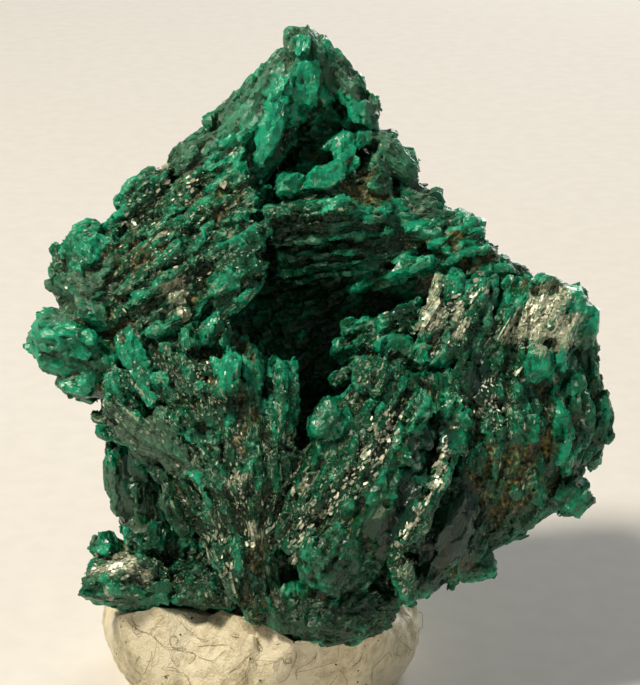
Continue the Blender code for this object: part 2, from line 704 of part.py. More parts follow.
def triangulate(work):
    """Triangles throughout. Where two faces would share a diagonal, one of them takes its other one."""
    bmesh.ops.triangulate(work, faces=work.faces)
    for edge in [e for e in work.edges if len(e.link_faces) == 4]:
        start, end = edge.verts
        forward = [f for f in edge.link_faces if runs(f, start, end)]
        backward = [f for f in edge.link_faces if runs(f, end, start)]
        pairs = [(f, g) for f in forward for g in backward]
        pair = max(pairs, key=lambda pair: pair[0].normal.dot(pair[1].normal))
        left, right = (next(v for v in face.verts if v not in (start, end)) for face in pair)
        bmesh.ops.delete(work, geom=list(pair), context="FACES_ONLY")
        work.faces.new((left, start, right)).normal_update()
        work.faces.new((right, end, left)).normal_update()


def make_cluster(collection, cutters):
    made = fused("euchroite_cluster", cluster_solids(), collection, cutters)
    work = bmesh.new()
    work.from_mesh(made.data)
    triangulate(work)
    close_slivers(work, SLIVER * MM)
    bmesh.ops.dissolve_limit(work, angle_limit=math.radians(FLAT_ANGLE), verts=work.verts, edges=work.edges)
    triangulate(work)
    work.to_mesh(made.data)
    work.free()
    return made


def putty_form(rng):
    """A sphere of few faces drawn out to the lump's half widths, with soft dents pressed into it."""
    dents = []
    for _ in range(PUTTY_DENTS):
        turn, height = rng.uniform(0, math.tau), rng.uniform(*DENT_HEIGHT)
        way = Vector((math.cos(turn), math.sin(turn), height)).normalized()
        dents.append((way, rng.uniform(*DENT_PUSH) * DENT_DEPTH))
    work = bmesh.new()
    bmesh.ops.create_uvsphere(work, u_segments=16, v_segments=9, radius=1.0)
    for vert in work.verts:
        push = 1.0 - sum(depth * max(0.0, vert.co.dot(way)) ** DENT_SHARPNESS for way, depth in dents)
        half_height = PUTTY_HEIGHT - PUTTY_BULGE if vert.co.z > 0 else PUTTY_BULGE * UNDERCUT
        x, y = vert.co.x * PUTTY_RADIUS[0] * push, vert.co.y * PUTTY_RADIUS[1] * push
        vert.co = Vector((x, y, PUTTY_BULGE + half_height * vert.co.z)) * MM
    return work


def cut_flat(work):
    """Cuts away what lies below the rest plane, and closes the cut."""
    parts = work.verts[:] + work.edges[:] + work.faces[:]
    bmesh.ops.bisect_plane(work, geom=parts, plane_co=(0, 0, 0), plane_no=(0, 0, -1), clear_outer=True)
    bmesh.ops.contextual_create(work, geom=[e for e in work.edges if e.is_boundary])


def make_putty(collection, cutters):
    """A soft lump with a flat underside and a hollow where the cluster's foot is pressed in."""
    work = putty_form(random.Random(SEED))
    mesh = bpy.data.meshes.new("putty")
    work.to_mesh(mesh)
    work.free()
    made = new_object("mounting_putty", mesh, collection)
    soft = made.modifiers.new("soft", "SUBSURF")
    soft.levels = 1
    soft.render_levels = 1
    applied(made)
    work = bmesh.new()
    work.from_mesh(made.data)
    cut_flat(work)
    work.to_mesh(made.data)
    work.free()
    hollow = fused("foot_hollow", cluster_solids(), cutters, cutters, PRESS_GAP)
    hollow.hide_render = True
    hollow.display_type = "WIRE"
    press = made.modifiers.new("press", "BOOLEAN")
    press.operation = "DIFFERENCE"
    press.object = hollow
    applied(made)
    keep_outer_skin(made)
    return made


def finish(made, name, colour, roughness):
    """One plain material for the piece."""
    material = bpy.data.materials.new(name)
    material.use_nodes = True
    shader = material.node_tree.nodes["Principled BSDF"]
    shader.inputs["Base Color"].default_value = (*colour, 1.0)
    shader.inputs["Roughness"].default_value = roughness
    shader.inputs["Metallic"].default_value = 0.0
    made.data.materials.clear()
    made.data.materials.append(material)


def main():
    for leftover in list(bpy.data.objects):
        bpy.data.objects.remove(leftover, do_unlink=True)
    specimen = bpy.data.collections.new("euchroite_specimen")
    cutters = bpy.data.collections.new("cutters")
    bpy.context.scene.collection.children.link(specimen)
    bpy.context.scene.collection.children.link(cutters)
    cluster = make_cluster(specimen, cutters)
    putty = make_putty(specimen, cutters)
    finish(cluster, "emerald_green_crystal", (0.010, 0.130, 0.075), 0.35)
    finish(putty, "cream_putty", (0.60, 0.54, 0.42), 0.7)


main()
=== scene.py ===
# %% [markdown]
# # A euchroite specimen, pressed into a lump of mounting putty
# Euchroite is a copper arsenate mineral. This cluster is a few centimetres of grown-together emerald-green
# crystals: curved sheaves of flat plates, with smooth bright slabs, fine glittering druse, rusty iron
# stains and silvery cleavage flakes. The solids already have its main forms. Here they get the skin of
# the real thing, in four steps: a faceted body, thousands of small plates that follow the growth, the
# loose flakes, and the putty with its lint.

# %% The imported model
import math

import bmesh
import bpy
import numpy as np
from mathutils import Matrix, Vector, noise
from mathutils.bvhtree import BVHTree
from mathutils.kdtree import KDTree


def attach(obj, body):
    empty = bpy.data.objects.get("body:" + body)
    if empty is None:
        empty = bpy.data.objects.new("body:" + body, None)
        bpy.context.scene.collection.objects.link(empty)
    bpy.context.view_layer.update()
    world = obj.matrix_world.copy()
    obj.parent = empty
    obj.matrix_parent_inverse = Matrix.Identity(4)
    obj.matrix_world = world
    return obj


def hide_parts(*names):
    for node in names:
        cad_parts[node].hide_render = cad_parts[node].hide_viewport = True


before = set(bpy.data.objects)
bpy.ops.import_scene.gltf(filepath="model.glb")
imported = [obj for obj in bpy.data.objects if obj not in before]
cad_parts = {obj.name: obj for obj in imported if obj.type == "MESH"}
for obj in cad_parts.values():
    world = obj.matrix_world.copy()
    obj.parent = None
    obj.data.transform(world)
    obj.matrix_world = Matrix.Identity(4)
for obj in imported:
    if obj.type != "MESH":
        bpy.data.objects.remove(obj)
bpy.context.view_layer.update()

print("solids:", sorted(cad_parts))

# %% [markdown]
# ## Places on the display side
# A collector looks at the specimen from one side. Every crystal's place is given as that view shows it,
# in millimetres: across to the right, up the display side, and out towards the eye. `seen` turns such a
# place into metres in the object's own frame, and `on_face` turns many places back. Lines of sight
# spread from an eye 120 mm away, so both divide by the distance.

# %% From the display side to the object's frame
MM = 0.001
DISPLAY_TILT = math.radians(20.0)
EYE_DISTANCE = 120.0
BACK_SHARE = 0.85  # depths behind the display side are drawn in to this share
DISPLAY_CENTRE = np.array((2.9, -1.0, 18.5))
ACROSS = np.array((1.0, 0.0, 0.0))
UP = np.array((0.0, math.sin(DISPLAY_TILT), math.cos(DISPLAY_TILT)))
OUT = np.array((0.0, -math.cos(DISPLAY_TILT), math.sin(DISPLAY_TILT)))
EYE = (DISPLAY_CENTRE + OUT * EYE_DISTANCE) * MM


def seen(across, up, out):
    """The place in metres that shows at across and up and lies out in depth."""
    out *= BACK_SHARE if out < 0 else 1
    spread = (EYE_DISTANCE - out) / EYE_DISTANCE
    return (DISPLAY_CENTRE + ACROSS * across * spread + UP * up * spread + OUT * out) * MM


def unit(ways):
    """One direction, or rows of them, each made one long."""
    return ways / (np.linalg.norm(ways) if ways.ndim == 1 else np.linalg.norm(ways, axis=1)[:, None])


def facing(across, up, out):
    """A direction given on the display side, one long."""
    return unit(ACROSS * across + UP * up + OUT * out)


def on_face(points):
    """Rows of across, up and out for rows of places in metres."""
    away = points / MM - DISPLAY_CENTRE
    out = away @ OUT
    spread = (EYE_DISTANCE - out) / EYE_DISTANCE
    return np.column_stack((away @ ACROSS / spread, away @ UP / spread, out))


print("display side centre:", seen(0, 0, 0))

# %% [markdown]
# ## Camera
# The eye looks down 20 degrees on the display side from 120 mm away. The view is 34.25 mm high there, so
# the lens follows from the sensor's 36 mm, the distance and that height.

# %% Camera
VIEW_HEIGHT = 34.25  # millimetres that the view's long side covers at the display centre
SENSOR = 36.0
lens = bpy.data.cameras.new("display_view")
lens.sensor_width = SENSOR
lens.lens = SENSOR * EYE_DISTANCE / VIEW_HEIGHT
lens.clip_start = 0.005
lens.clip_end = 5.0
camera = bpy.data.objects.new("display_view", lens)
camera.location = EYE
camera.rotation_euler = Vector(OUT).to_track_quat("Z", "Y").to_euler()
bpy.context.scene.collection.objects.link(camera)
bpy.context.scene.camera = camera
print("lens:", round(lens.lens, 1), "mm")

# %% [markdown]
# ## Which way the crystals grow
# In a sheaf every plate lies nearly along its neighbour, so a few strokes are enough to say how all of
# them lie. Each stroke has a start and an end, and the way that the plates' broad sides face there. Any
# other place takes a mean of the strokes near it. A plate looks the same when it is turned end for end,
# so the mean is taken of each direction times itself, and its strongest axis is the answer.

# %% Growth strokes
# each row: start, end, and the way the broad sides face
STROKES = [
    ((-0.6, 14.8, -1.5), (-0.7, 11.9, -0.8), (0.1, 0.3, 1)),
    ((-1.2, 14.6, -2.6), (-5.2, 10.8, -2.6), (-0.5, 0.5, 0.7)),
    ((-1.6, 13.5, -0.9), (-3.1, 9.1, 0.3), (-0.2, 0.3, 1)),
    ((-0.2, 14.6, -2.0), (2.2, 11.4, -2.4), (0.6, 0.4, 0.7)),
    ((-0.2, 9.8, -2.6), (3.7, 10.3, -3.0), (0, 1, 0.2)),
    ((1.35, 10.0, -1.5), (1.1, 8.4, -0.8), (0.2, 0, 1)),
    ((1.4, 8.7, -0.9), (-0.8, 7.9, -0.1), (-0.2, 0.3, 1)),
    ((-2.6, 6.6, 0.4), (4.4, 7.2, -1.0), (-0.1, 1, 0.25)),
    ((-2.2, 4.9, -0.8), (5.0, 6.0, -0.9), (-0.15, 1, 0.2)),
    ((-1.8, 3.1, -2.6), (5.2, 4.5, -1.2), (-0.2, 1, 0.1)),
    ((3.0, 10.0, -2.4), (4.6, 7.6, -2.4), (0.6, 0.5, 0.7)),
    ((-5.2, 1.4, 0.6), (-2.9, 3.3, 1.3), (0.2, -0.3, 1)),
    ((-5.6, 3.6, 1.0), (-2.4, 5.9, 1.2), (0.1, 0.3, 1)),
    ((-9.6, 0.4, 0.4), (-6.2, 2.8, 1.4), (-0.4, 0.6, 0.8)),
    ((-9.8, 3.0, -0.6), (-5.6, 6.0, 0.8), (-0.4, 0.6, 0.8)),
    ((-10.4, 5.0, -1.6), (-5.0, 9.2, -0.8), (-0.4, 0.6, 0.8)),
    ((-8.6, 8.0, -2.4), (-4.4, 11.2, -2.4), (-0.5, 0.6, 0.6)),
    ((-10.8, 1.3, -1.6), (-13.3, 2.9, -1.8), (-0.2, 0.5, 1)),
    ((-10.6, 3.2, -1.8), (-13.0, 5.0, -2.4), (-0.2, 0.6, 1)),
    ((-10.6, -1.0, -0.6), (-14.2, -0.2, -2.0), (0, 0.4, 1)),
    ((-9.9, 0.6, 0.8), (-8.3, -2.2, 1.4), (-0.3, 0, 1)),
    ((-3.6, -12.6, 0.6), (-6.0, -8.6, 1.4), (0.7, 0.5, 0.6)),
    ((-6.0, -8.6, 1.4), (-10.0, -3.7, 0.2), (0.5, 0.6, 0.8)),
    ((-3.3, -12.8, 0.9), (-5.4, -7.2, 2.5), (0.9, 0.3, 0.5)),
    ((-5.4, -7.2, 2.5), (-8.4, -2.2, 1.6), (0.7, 0.5, 0.6)),
    ((-3.0, -13.0, 1.2), (-4.2, -6.6, 3.0), (1, 0.2, 0.3)),
    ((-4.2, -6.6, 3.0), (-5.6, -1.2, 2.4), (0.9, 0.2, 0.4)),
    ((-2.8, -13.0, 1.2), (-3.2, -6.4, 3.0), (1, 0, 0.3)),
    ((-3.2, -6.4, 3.0), (-3.7, -0.4, 2.0), (1, 0, 0.3)),
    ((-2.6, -12.6, 1.0), (-2.0, -6.8, 2.4), (1, 0, -0.2)),
    ((-2.0, -6.8, 2.4), (-1.5, -1.0, 0.8), (1, 0, 0.2)),
    ((-11.2, -3.7, -0.6), (-5.8, -6.6, 2.4), (-0.3, -0.6, 0.75)),
    ((-10.0, -4.6, -2.4), (-9.5, -8.8, -2.0), (-0.5, 0, 1)),
    ((-8.6, -5.0, -1.6), (-8.0, -9.4, -1.4), (0, 0, 1)),
    ((-11.4, -11.8, -1.6), (-7.0, -11.0, -0.8), (0, 0.6, 1)),
    ((1.4, -2.8, 1.8), (-0.1, -5.4, 2.9), (-0.8, 0.5, 0.5)),
    ((-0.1, -5.4, 2.9), (-2.2, -9.4, 2.4), (-0.8, 0.5, 0.5)),
    ((3.2, -1.2, 2.2), (1.4, -5.6, 4.1), (-0.5, 0.4, 0.8)),
    ((1.4, -5.6, 4.1), (-1.3, -10.4, 3.2), (-0.6, 0.4, 0.7)),
    ((4.4, -3.2, 2.8), (2.8, -7.2, 4.7), (-0.3, 0.2, 1)),
    ((2.8, -7.2, 4.7), (0.0, -11.8, 3.6), (-0.3, 0.2, 1)),
    ((6.4, -5.3, 2.8), (5.2, -8.0, 4.2), (0.1, 0, 1)),
    ((5.2, -8.0, 4.2), (3.7, -10.4, 4.3), (0.1, 0, 1)),
    ((7.6, -6.2, 1.8), (5.4, -12.0, 1.6), (0.5, -0.3, 0.9)),
    ((-2.0, -13.4, 1.2), (3.6, -13.6, 1.2), (0, 0.3, 1)),
    ((5.0, 0.0, 1.4), (6.2, 2.6, 0.9), (-0.5, 0.3, 1)),
    ((7.4, -0.6, 1.2), (8.6, 2.0, 0.4), (-0.5, 0.3, 1)),
    ((9.2, -0.4, 1.0), (10.6, 2.2, 0.0), (-0.4, 0.3, 1)),
    ((11.4, -1.0, 0.6), (12.6, 1.6, -0.8), (-0.2, 0.3, 1)),
    ((7.0, -1.6, 1.2), (7.4, -6.4, 1.8), (0, 0, 1)),
    ((10.0, -1.0, 1.0), (10.8, -4.4, 1.6), (0.4, 0, 1)),
    ((10.8, -4.4, 1.6), (9.6, -7.4, 1.2), (0.4, -0.2, 1)),
    ((13.2, 2.0, -2.0), (13.8, -3.6, -2.0), (0.9, 0, 0.4)),
    ((13.6, -3.6, -2.0), (12.0, -7.6, -1.2), (0.7, -0.4, 0.6)),
    ((12.8, -7.4, -1.2), (8.0, -11.0, -0.6), (0.3, -0.6, 0.7)),
    ((3.4, 6.6, -2.0), (5.2, 7.4, -3.2), (0.3, 0.6, 0.8)),
    ((4.8, 5.1, -0.8), (7.4, 6.0, -2.6), (0.4, 0.6, 0.8)),
    ((7.2, 3.2, -0.2), (10.3, 3.2, -2.4), (0.4, 0.6, 0.8)),
    ((1.2, -1.6, -1.4), (4.8, 1.6, 0.2), (-0.2, 0.5, 1)),
    ((2.0, 2.4, -1.4), (5.4, 4.2, -0.4), (-0.2, 0.6, 0.9)),
    ((-1.6, 11.4, -6.6), (-6.4, 7.4, -8.6), (-0.5, 0.5, -0.7)),
    ((-6.4, 7.4, -8.6), (-10.4, 2.2, -5.6), (-0.6, 0.3, -0.7)),
    ((0.6, 9.4, -8.6), (-3.4, 4.6, -11.6), (-0.4, 0.3, -0.9)),
    ((-3.4, 4.6, -11.6), (-7.2, -1.6, -9.4), (-0.4, 0.1, -0.9)),
    ((1.4, 6.4, -10.4), (-3.2, -4.4, -11.0), (0.2, 0, -1)),
    ((2.8, 7.2, -7.4), (7.2, 3.4, -9.0), (0.6, 0.5, -0.7)),
    ((7.2, 3.4, -9.0), (11.4, -0.8, -5.6), (0.7, 0.2, -0.7)),
    ((2.4, 4.0, -10.6), (10.6, -4.6, -7.4), (0.4, 0.1, -0.9)),
    ((-8.8, -4.4, -6.6), (-3.4, -8.2, -8.6), (-0.3, -0.2, -1)),
    ((3.0, -10.4, -7.0), (9.4, -6.2, -6.4), (0.3, -0.2, -1)),
]
print("growth strokes:", len(STROKES))

# %% [markdown]
# ### The growth at any place
# A stroke's pull falls off with the distance to it. A few dozen strokes and a quarter of a million points
# make a large table, so the points are worked through in parts. At the end the broad side's direction is
# made square to the growth.

# %% Growth at any place
STROKE_REACH = 0.9  # millimetres: nearer than this a stroke rules alone
POINTS_AT_ONCE = 20000  # so that the table of distances fits in memory


def to_segments(points, starts, ends):
    """Distances in metres from each point to each straight stroke."""
    runs = ends - starts
    lengths = (runs * runs).sum(1)
    away = points[:, None, :] - starts[None]
    share = np.clip((away * runs[None]).sum(2) / lengths[None], 0, 1)
    return np.linalg.norm(away - share[..., None] * runs[None], axis=2)


def strongest_axis(weights, ways):
    """For each row of weights, the main axis of the weighted directions."""
    tensors = np.einsum("nk,ki,kj->nij", weights, ways, ways)
    return np.linalg.eigh(tensors)[1][:, :, 2]


def growth(points):
    """The way the plates run and the way their broad sides face, at each point."""
    starts = np.array([seen(*start) for start, _, _ in STROKES])
    ends = np.array([seen(*end) for _, end, _ in STROKES])
    runs = unit(ends - starts)
    faces = np.array([facing(*face) for _, _, face in STROKES])
    along, broad = np.empty_like(points), np.empty_like(points)
    for part in np.array_split(np.arange(len(points)), max(1, len(points) // POINTS_AT_ONCE)):
        gap = to_segments(points[part], starts, ends) / (STROKE_REACH * MM)
        weights = 1 / (1 + gap * gap) ** 2
        along[part] = strongest_axis(weights, runs)
        broad[part] = strongest_axis(weights, faces)
    return along, unit(broad - along * (broad * along).sum(1)[:, None])


print("growth and broad side at the display centre:", growth(np.array([seen(0, 0, 0)])))

# %% [markdown]
# ## Zones of colour and surface
# The colour of the cluster isn't even. Slabs and rounded lumps are smooth and bright, the broken flanks
# are dusty grey-green, iron has stained some hollows, and cleavage faces shine like tin foil. Three zones
# are painted light: the shaded zone is painted shade, the pale colour of the silvery zone is painted
# reflection beside a real metallic gloss, and the grey of the glassy zone is painted sheen. Each kind is
# a list of soft ellipses on the display side: its place, its two radii and its turn in degrees. Every
# place is shifted a little before it is looked up, so that no zone shows a plain oval outline. The same
# lists drive the colour, the size of the facets and how thickly the small plates grow.

# %% Zones
# each row: across, up, radius along, radius over, turn
BRIGHT = [
    (-0.9, 13.9, 0.7, 0.8, 0), (-0.8, 12.9, 0.8, 1.2, 0), (-2.9, 11.6, 2.2, 0.75, 50),
    (-2.6, 10.4, 1.9, 0.6, 65), (1.25, 9.2, 0.5, 0.9, 0), (0.3, 8.3, 1.3, 0.5, 20),
    (-1.5, 7.8, 0.7, 0.6, 0), (0.8, 6.7, 0.8, 0.5, 0), (-3.8, 4.6, 1.7, 0.65, 35),
    (-3.9, 3.3, 1.6, 0.55, 35), (-4.0, 2.3, 1.4, 0.5, 38), (-13.0, -0.3, 2.0, 1.8, 0),
    (-12.2, -2.5, 1.0, 0.7, 0), (-10.8, -1.2, 1.4, 1.0, -30), (-9.1, -0.9, 1.7, 0.5, -58),
    (-5.2, 0.5, 0.6, 0.8, 0), (-6.3, 0.3, 0.5, 0.7, 0), (-4.4, -1.3, 0.4, 1.3, 0),
    (-1.6, -2.6, 0.45, 2.0, 0), (-1.5, -6.0, 0.45, 0.8, 0), (-4.0, -10.8, 0.4, 1.0, 15),
    (-10.0, -7.0, 0.7, 2.0, 0), (-10.7, -10.1, 0.9, 0.7, 0), (-10.4, -11.9, 1.4, 0.9, 0),
    (-11.3, -12.2, 0.6, 0.8, 0), (0.6, -4.2, 1.0, 1.3, -20), (3.4, -5.2, 0.5, 1.9, -25),
    (13.0, 1.2, 0.9, 1.7, 15), (6.8, -4.3, 0.6, 1.0, 0), (7.4, -5.8, 0.5, 0.7, 0),
    (10.4, -4.2, 0.6, 0.9, 0), (11.8, -5.0, 0.5, 2.0, 0), (12.7, -7.8, 0.9, 0.7, 20),
    (10.9, -1.0, 0.5, 0.9, 0), (7.4, 6.4, 1.0, 0.6, -35), (5.8, 5.2, 0.5, 0.8, 20),
    (9.4, -8.4, 0.8, 0.6, 20), (-11.6, 4.6, 1.2, 0.8, 40), (0.6, 11.2, 0.7, 1.0, 0),
]
DUSTY = [
    (-0.6, 15.2, 1.4, 0.5, 0), (-3.6, 12.7, 2.8, 0.8, 47), (-6.3, 9.8, 1.3, 0.7, 40),
    (1.5, 13.2, 1.8, 0.7, -55), (3.6, 9.2, 1.0, 1.2, 0), (5.0, 8.2, 0.9, 1.4, -20),
    (-8.6, -4.9, 2.9, 0.7, -33), (-10.1, -7.8, 0.4, 1.0, 15), (12.4, 0.4, 0.7, 1.4, 10),
    (-9.9, -11.3, 1.3, 0.5, 5), (-12.0, 2.6, 1.8, 0.8, 30),
]
RUSTY = [
    (-6.9, 8.5, 0.6, 0.9, 20), (-9.0, 4.7, 1.6, 0.7, 25), (-5.0, 7.0, 1.4, 0.6, 30),
    (-10.4, 0.9, 0.9, 0.7, 0), (-6.1, 2.0, 0.6, 0.35, 0), (-3.5, -0.4, 0.5, 1.5, 15),
    (-3.6, -3.8, 0.4, 1.6, 0), (-5.1, -2.1, 0.5, 0.6, 0), (-3.0, -9.8, 0.3, 1.8, 0),
    (0.6, 9.0, 1.6, 0.35, 15), (2.5, 7.2, 1.2, 0.9, 0), (6.6, 4.6, 1.4, 0.5, -30),
    (9.6, 3.8, 2.0, 0.5, -28), (9.3, -7.0, 1.6, 1.7, 0), (10.9, -5.4, 0.8, 0.5, 0),
    (7.0, -11.4, 0.8, 0.6, 0), (14.2, -1.4, 0.5, 1.6, 0), (3.0, 2.2, 0.7, 0.5, 0),
    (-3.4, -13.4, 0.8, 0.7, 0),
]
GLITTERING = [
    (-3.6, -8.0, 4.6, 2.0, 75), (-7.2, 4.6, 4.6, 3.6, 35), (-7.8, -2.4, 2.6, 1.8, 20),
    (-5.0, -7.6, 2.6, 1.4, -50), (-4.6, -11.4, 0.9, 2.0, 15), (1.6, -5.8, 4.4, 1.1, 55),
    (2.4, -1.5, 1.2, 1.2, 0), (5.0, -9.2, 4.2, 0.7, 62), (9.0, -3.2, 1.1, 1.6, 0),
    (-9.4, -11.2, 1.8, 1.0, 0), (1.4, 7.9, 1.4, 0.5, 10), (-0.4, 6.2, 2.4, 0.5, 8),
    (6.8, 1.4, 2.4, 1.4, 0),
]
# painted reflection: split faces here get a pale, mottled colour for their shine, and a metallic gloss
SILVERY = [
    (5.6, 1.5, 1.1, 0.5, 65), (5.4, 2.8, 0.5, 0.4, 0), (6.9, 1.2, 1.0, 0.3, 62),
    (9.7, 1.0, 1.2, 0.12, 62), (11.0, 1.3, 1.7, 0.9, 55), (11.9, 0.8, 1.1, 1.0, 0),
    (11.9, -1.9, 0.35, 0.15, 45), (-7.0, 2.5, 0.5, 0.6, 20), (-6.9, 1.8, 0.5, 0.4, 0),
    (-9.9, -11.2, 1.1, 0.45, 0), (-10.4, -12.7, 0.25, 0.3, 0), (-4.2, -6.6, 0.45, 0.25, -50),
    (-3.5, -9.5, 0.3, 0.4, 0), (-0.7, -7.5, 0.5, 0.3, 40), (6.1, -6.3, 0.2, 0.6, -5),
    (2.6, -5.0, 0.8, 0.15, 58),
]
# painted shade: inside these ellipses the crystals' green is made darker, where they lie in shadow
SHADED = [
    (1.0, -13.9, 3.4, 1.1, 0), (-0.6, 10.6, 0.9, 1.0, -10), (0.2, 0.4, 1.2, 3.0, 0),
    (-0.8, 4.6, 2.6, 1.6, 15), (2.6, 4.8, 2.4, 0.7, 12), (-0.6, -5.4, 0.5, 1.6, 0),
    (-6.8, -8.6, 0.5, 1.8, 10), (-8.0, -7.6, 1.1, 1.6, 0), (-6.6, -11.6, 1.4, 1.0, 0),
    (7.6, -1.6, 1.6, 0.8, 0), (8.3, -8.9, 0.9, 0.9, 0),
]
# painted sheen: these smooth faces get a dark grey laid over their green, for the grey sheen they show
GLASSY = [
    (4.0, -8.6, 1.8, 0.6, 62), (6.5, -9.5, 2.1, 1.0, 68), (5.0, -5.2, 1.3, 0.5, 65),
    (8.1, -1.6, 0.7, 0.5, 60), (3.6, 2.0, 0.6, 0.4, 0), (-9.9, -7.2, 1.4, 0.35, 85),
    (5.8, -4.8, 0.7, 0.9, 0),
]
ZONE_EDGE = 0.45  # how far past its radii a zone fades out, as a share of them
ZONE_WANDER = ((0.3, 2.3), (0.16, 5.1))  # how far and how fast a zone's outline wanders


def wandering(face):
    """The same places, each shifted along two waves."""
    across, up, out = face.T
    for far, fast in ZONE_WANDER:
        across = across + far * np.sin(fast * up + 1.4 * across)
        up = up + far * np.sin(fast * across - 0.8 * up)
    return np.column_stack((across, up, out))


def zone(ellipses, face):
    """How far each place lies in these ellipses: 1 inside, 0 outside, and in between at their edges."""
    most = np.zeros(len(face))
    for across, up, along, over, turn in ellipses:
        x, y = face[:, 0] - across, face[:, 1] - up
        c, s = math.cos(math.radians(turn)), math.sin(math.radians(turn))
        reach = np.hypot((x * c + y * s) / along, (y * c - x * s) / over)
        most = np.maximum(most, np.clip((1 + ZONE_EDGE - reach) / ZONE_EDGE, 0, 1))
    return most


zones = {
    "bright": BRIGHT,
    "dusty": DUSTY,
    "rusty": RUSTY,
    "glittering": GLITTERING,
    "silvery": SILVERY,
    "shaded": SHADED,
    "glassy": GLASSY,
}
print("zones:", {name: len(ellipses) for name, ellipses in zones.items()})

# %% [markdown]
# ## Small helpers
# The same few steps return for every piece: link an object, turn its modifiers into its mesh, and read
# or write its points as rows of numbers, which numpy works on all at once. `skinned` makes the sheet
# that a piece starts from: an even net of small faces over a solid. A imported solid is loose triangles,
# so they are joined at their corners before Remesh can see a closed surface.

# %% Helpers for meshes


def new_object(name, mesh):
    made = bpy.data.objects.new(name, mesh)
    bpy.context.scene.collection.objects.link(made)
    return made


def new_mesh(name, work, material=None):
    """The mesh that was built in a bmesh, which is then let go."""
    mesh = bpy.data.meshes.new(name)
    work.to_mesh(mesh)
    work.free()
    if material:
        mesh.materials.append(material)
    return mesh


def evaluated(made):
    """A mesh of the object as its modifiers or its bevel make it."""
    return bpy.data.meshes.new_from_object(made.evaluated_get(bpy.context.evaluated_depsgraph_get()))


def applied(made):
    """Turns the object's modifiers into its mesh."""
    mesh = evaluated(made)
    made.modifiers.clear()
    made.data = mesh


def rows_of(mesh, field):
    """The places ("co") or the normals ("normal") of a mesh's points, as rows."""
    rows = np.empty((len(mesh.vertices), 3), np.float32)
    mesh.vertices.foreach_get(field, rows.ravel())
    return rows.astype(float)


def set_points(mesh, points):
    mesh.vertices.foreach_set("co", np.ascontiguousarray(points, np.float32).ravel())
    mesh.update()


def put(mesh, name, values):
    """Keeps one number or one vector for each point under a name."""
    kind, field = ("FLOAT", "value") if values.ndim == 1 else ("FLOAT_VECTOR", "vector")
    attribute = mesh.attributes.get(name) or mesh.attributes.new(name, kind, "POINT")
    attribute.data.foreach_set(field, np.ascontiguousarray(values, np.float32).ravel())


def triangles_in(mesh):
    return sum(len(p.vertices) - 2 for p in mesh.polygons)


def tree_of(mesh):
    """A search tree over a mesh's faces, which finds where rays meet them."""
    corners = [tuple(v.co) for v in mesh.vertices]
    return BVHTree.FromPolygons(corners, [tuple(p.vertices) for p in mesh.polygons])


def hit_from_eye(tree, across, up):
    """The place and the normal where the line of sight at across and up meets a surface, or nothing."""
    towards = Vector(seen(across, up, 0.0) - EYE).normalized()
    place, normal, _, _ = tree.ray_cast(Vector(EYE), towards)
    return (np.array(place), np.array(normal)) if place else None


def merged(mesh):
    """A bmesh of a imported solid, with its loose triangles joined at their corners."""
    work = bmesh.new()
    work.from_mesh(mesh)
    bmesh.ops.remove_doubles(work, verts=work.verts, dist=0.001 * MM)
    return work


def skinned(name, work, spacing):
    """An object with an even net of faces, spacing millimetres across, over what a bmesh holds."""
    made = new_object(name, new_mesh(name, work))
    even = made.modifiers.new("even", "REMESH")
    even.mode = "VOXEL"
    even.voxel_size = spacing * MM
    applied(made)
    return made


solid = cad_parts["euchroite_cluster"].data
solid_tree = tree_of(solid)
print("faces of the packed cluster:", len(solid.polygons))

# %% [markdown]
# ## Slabs
# The largest crystals are smooth, and they carry the brightest green: two long slabs down the peak, a
# lip of them over the cleft, leaves in the fan and rounded buds on the right. Each slab is a stack of
# narrower leaves side by side, and each of those is lofted: a six-sided section is drawn along a short
# path, widest in its middle and cut slanting at both ends. Only the path's places on the display side
# are written down. A ray from the eye finds how far out the solid lies there, so every slab sits in the
# surface and none floats.

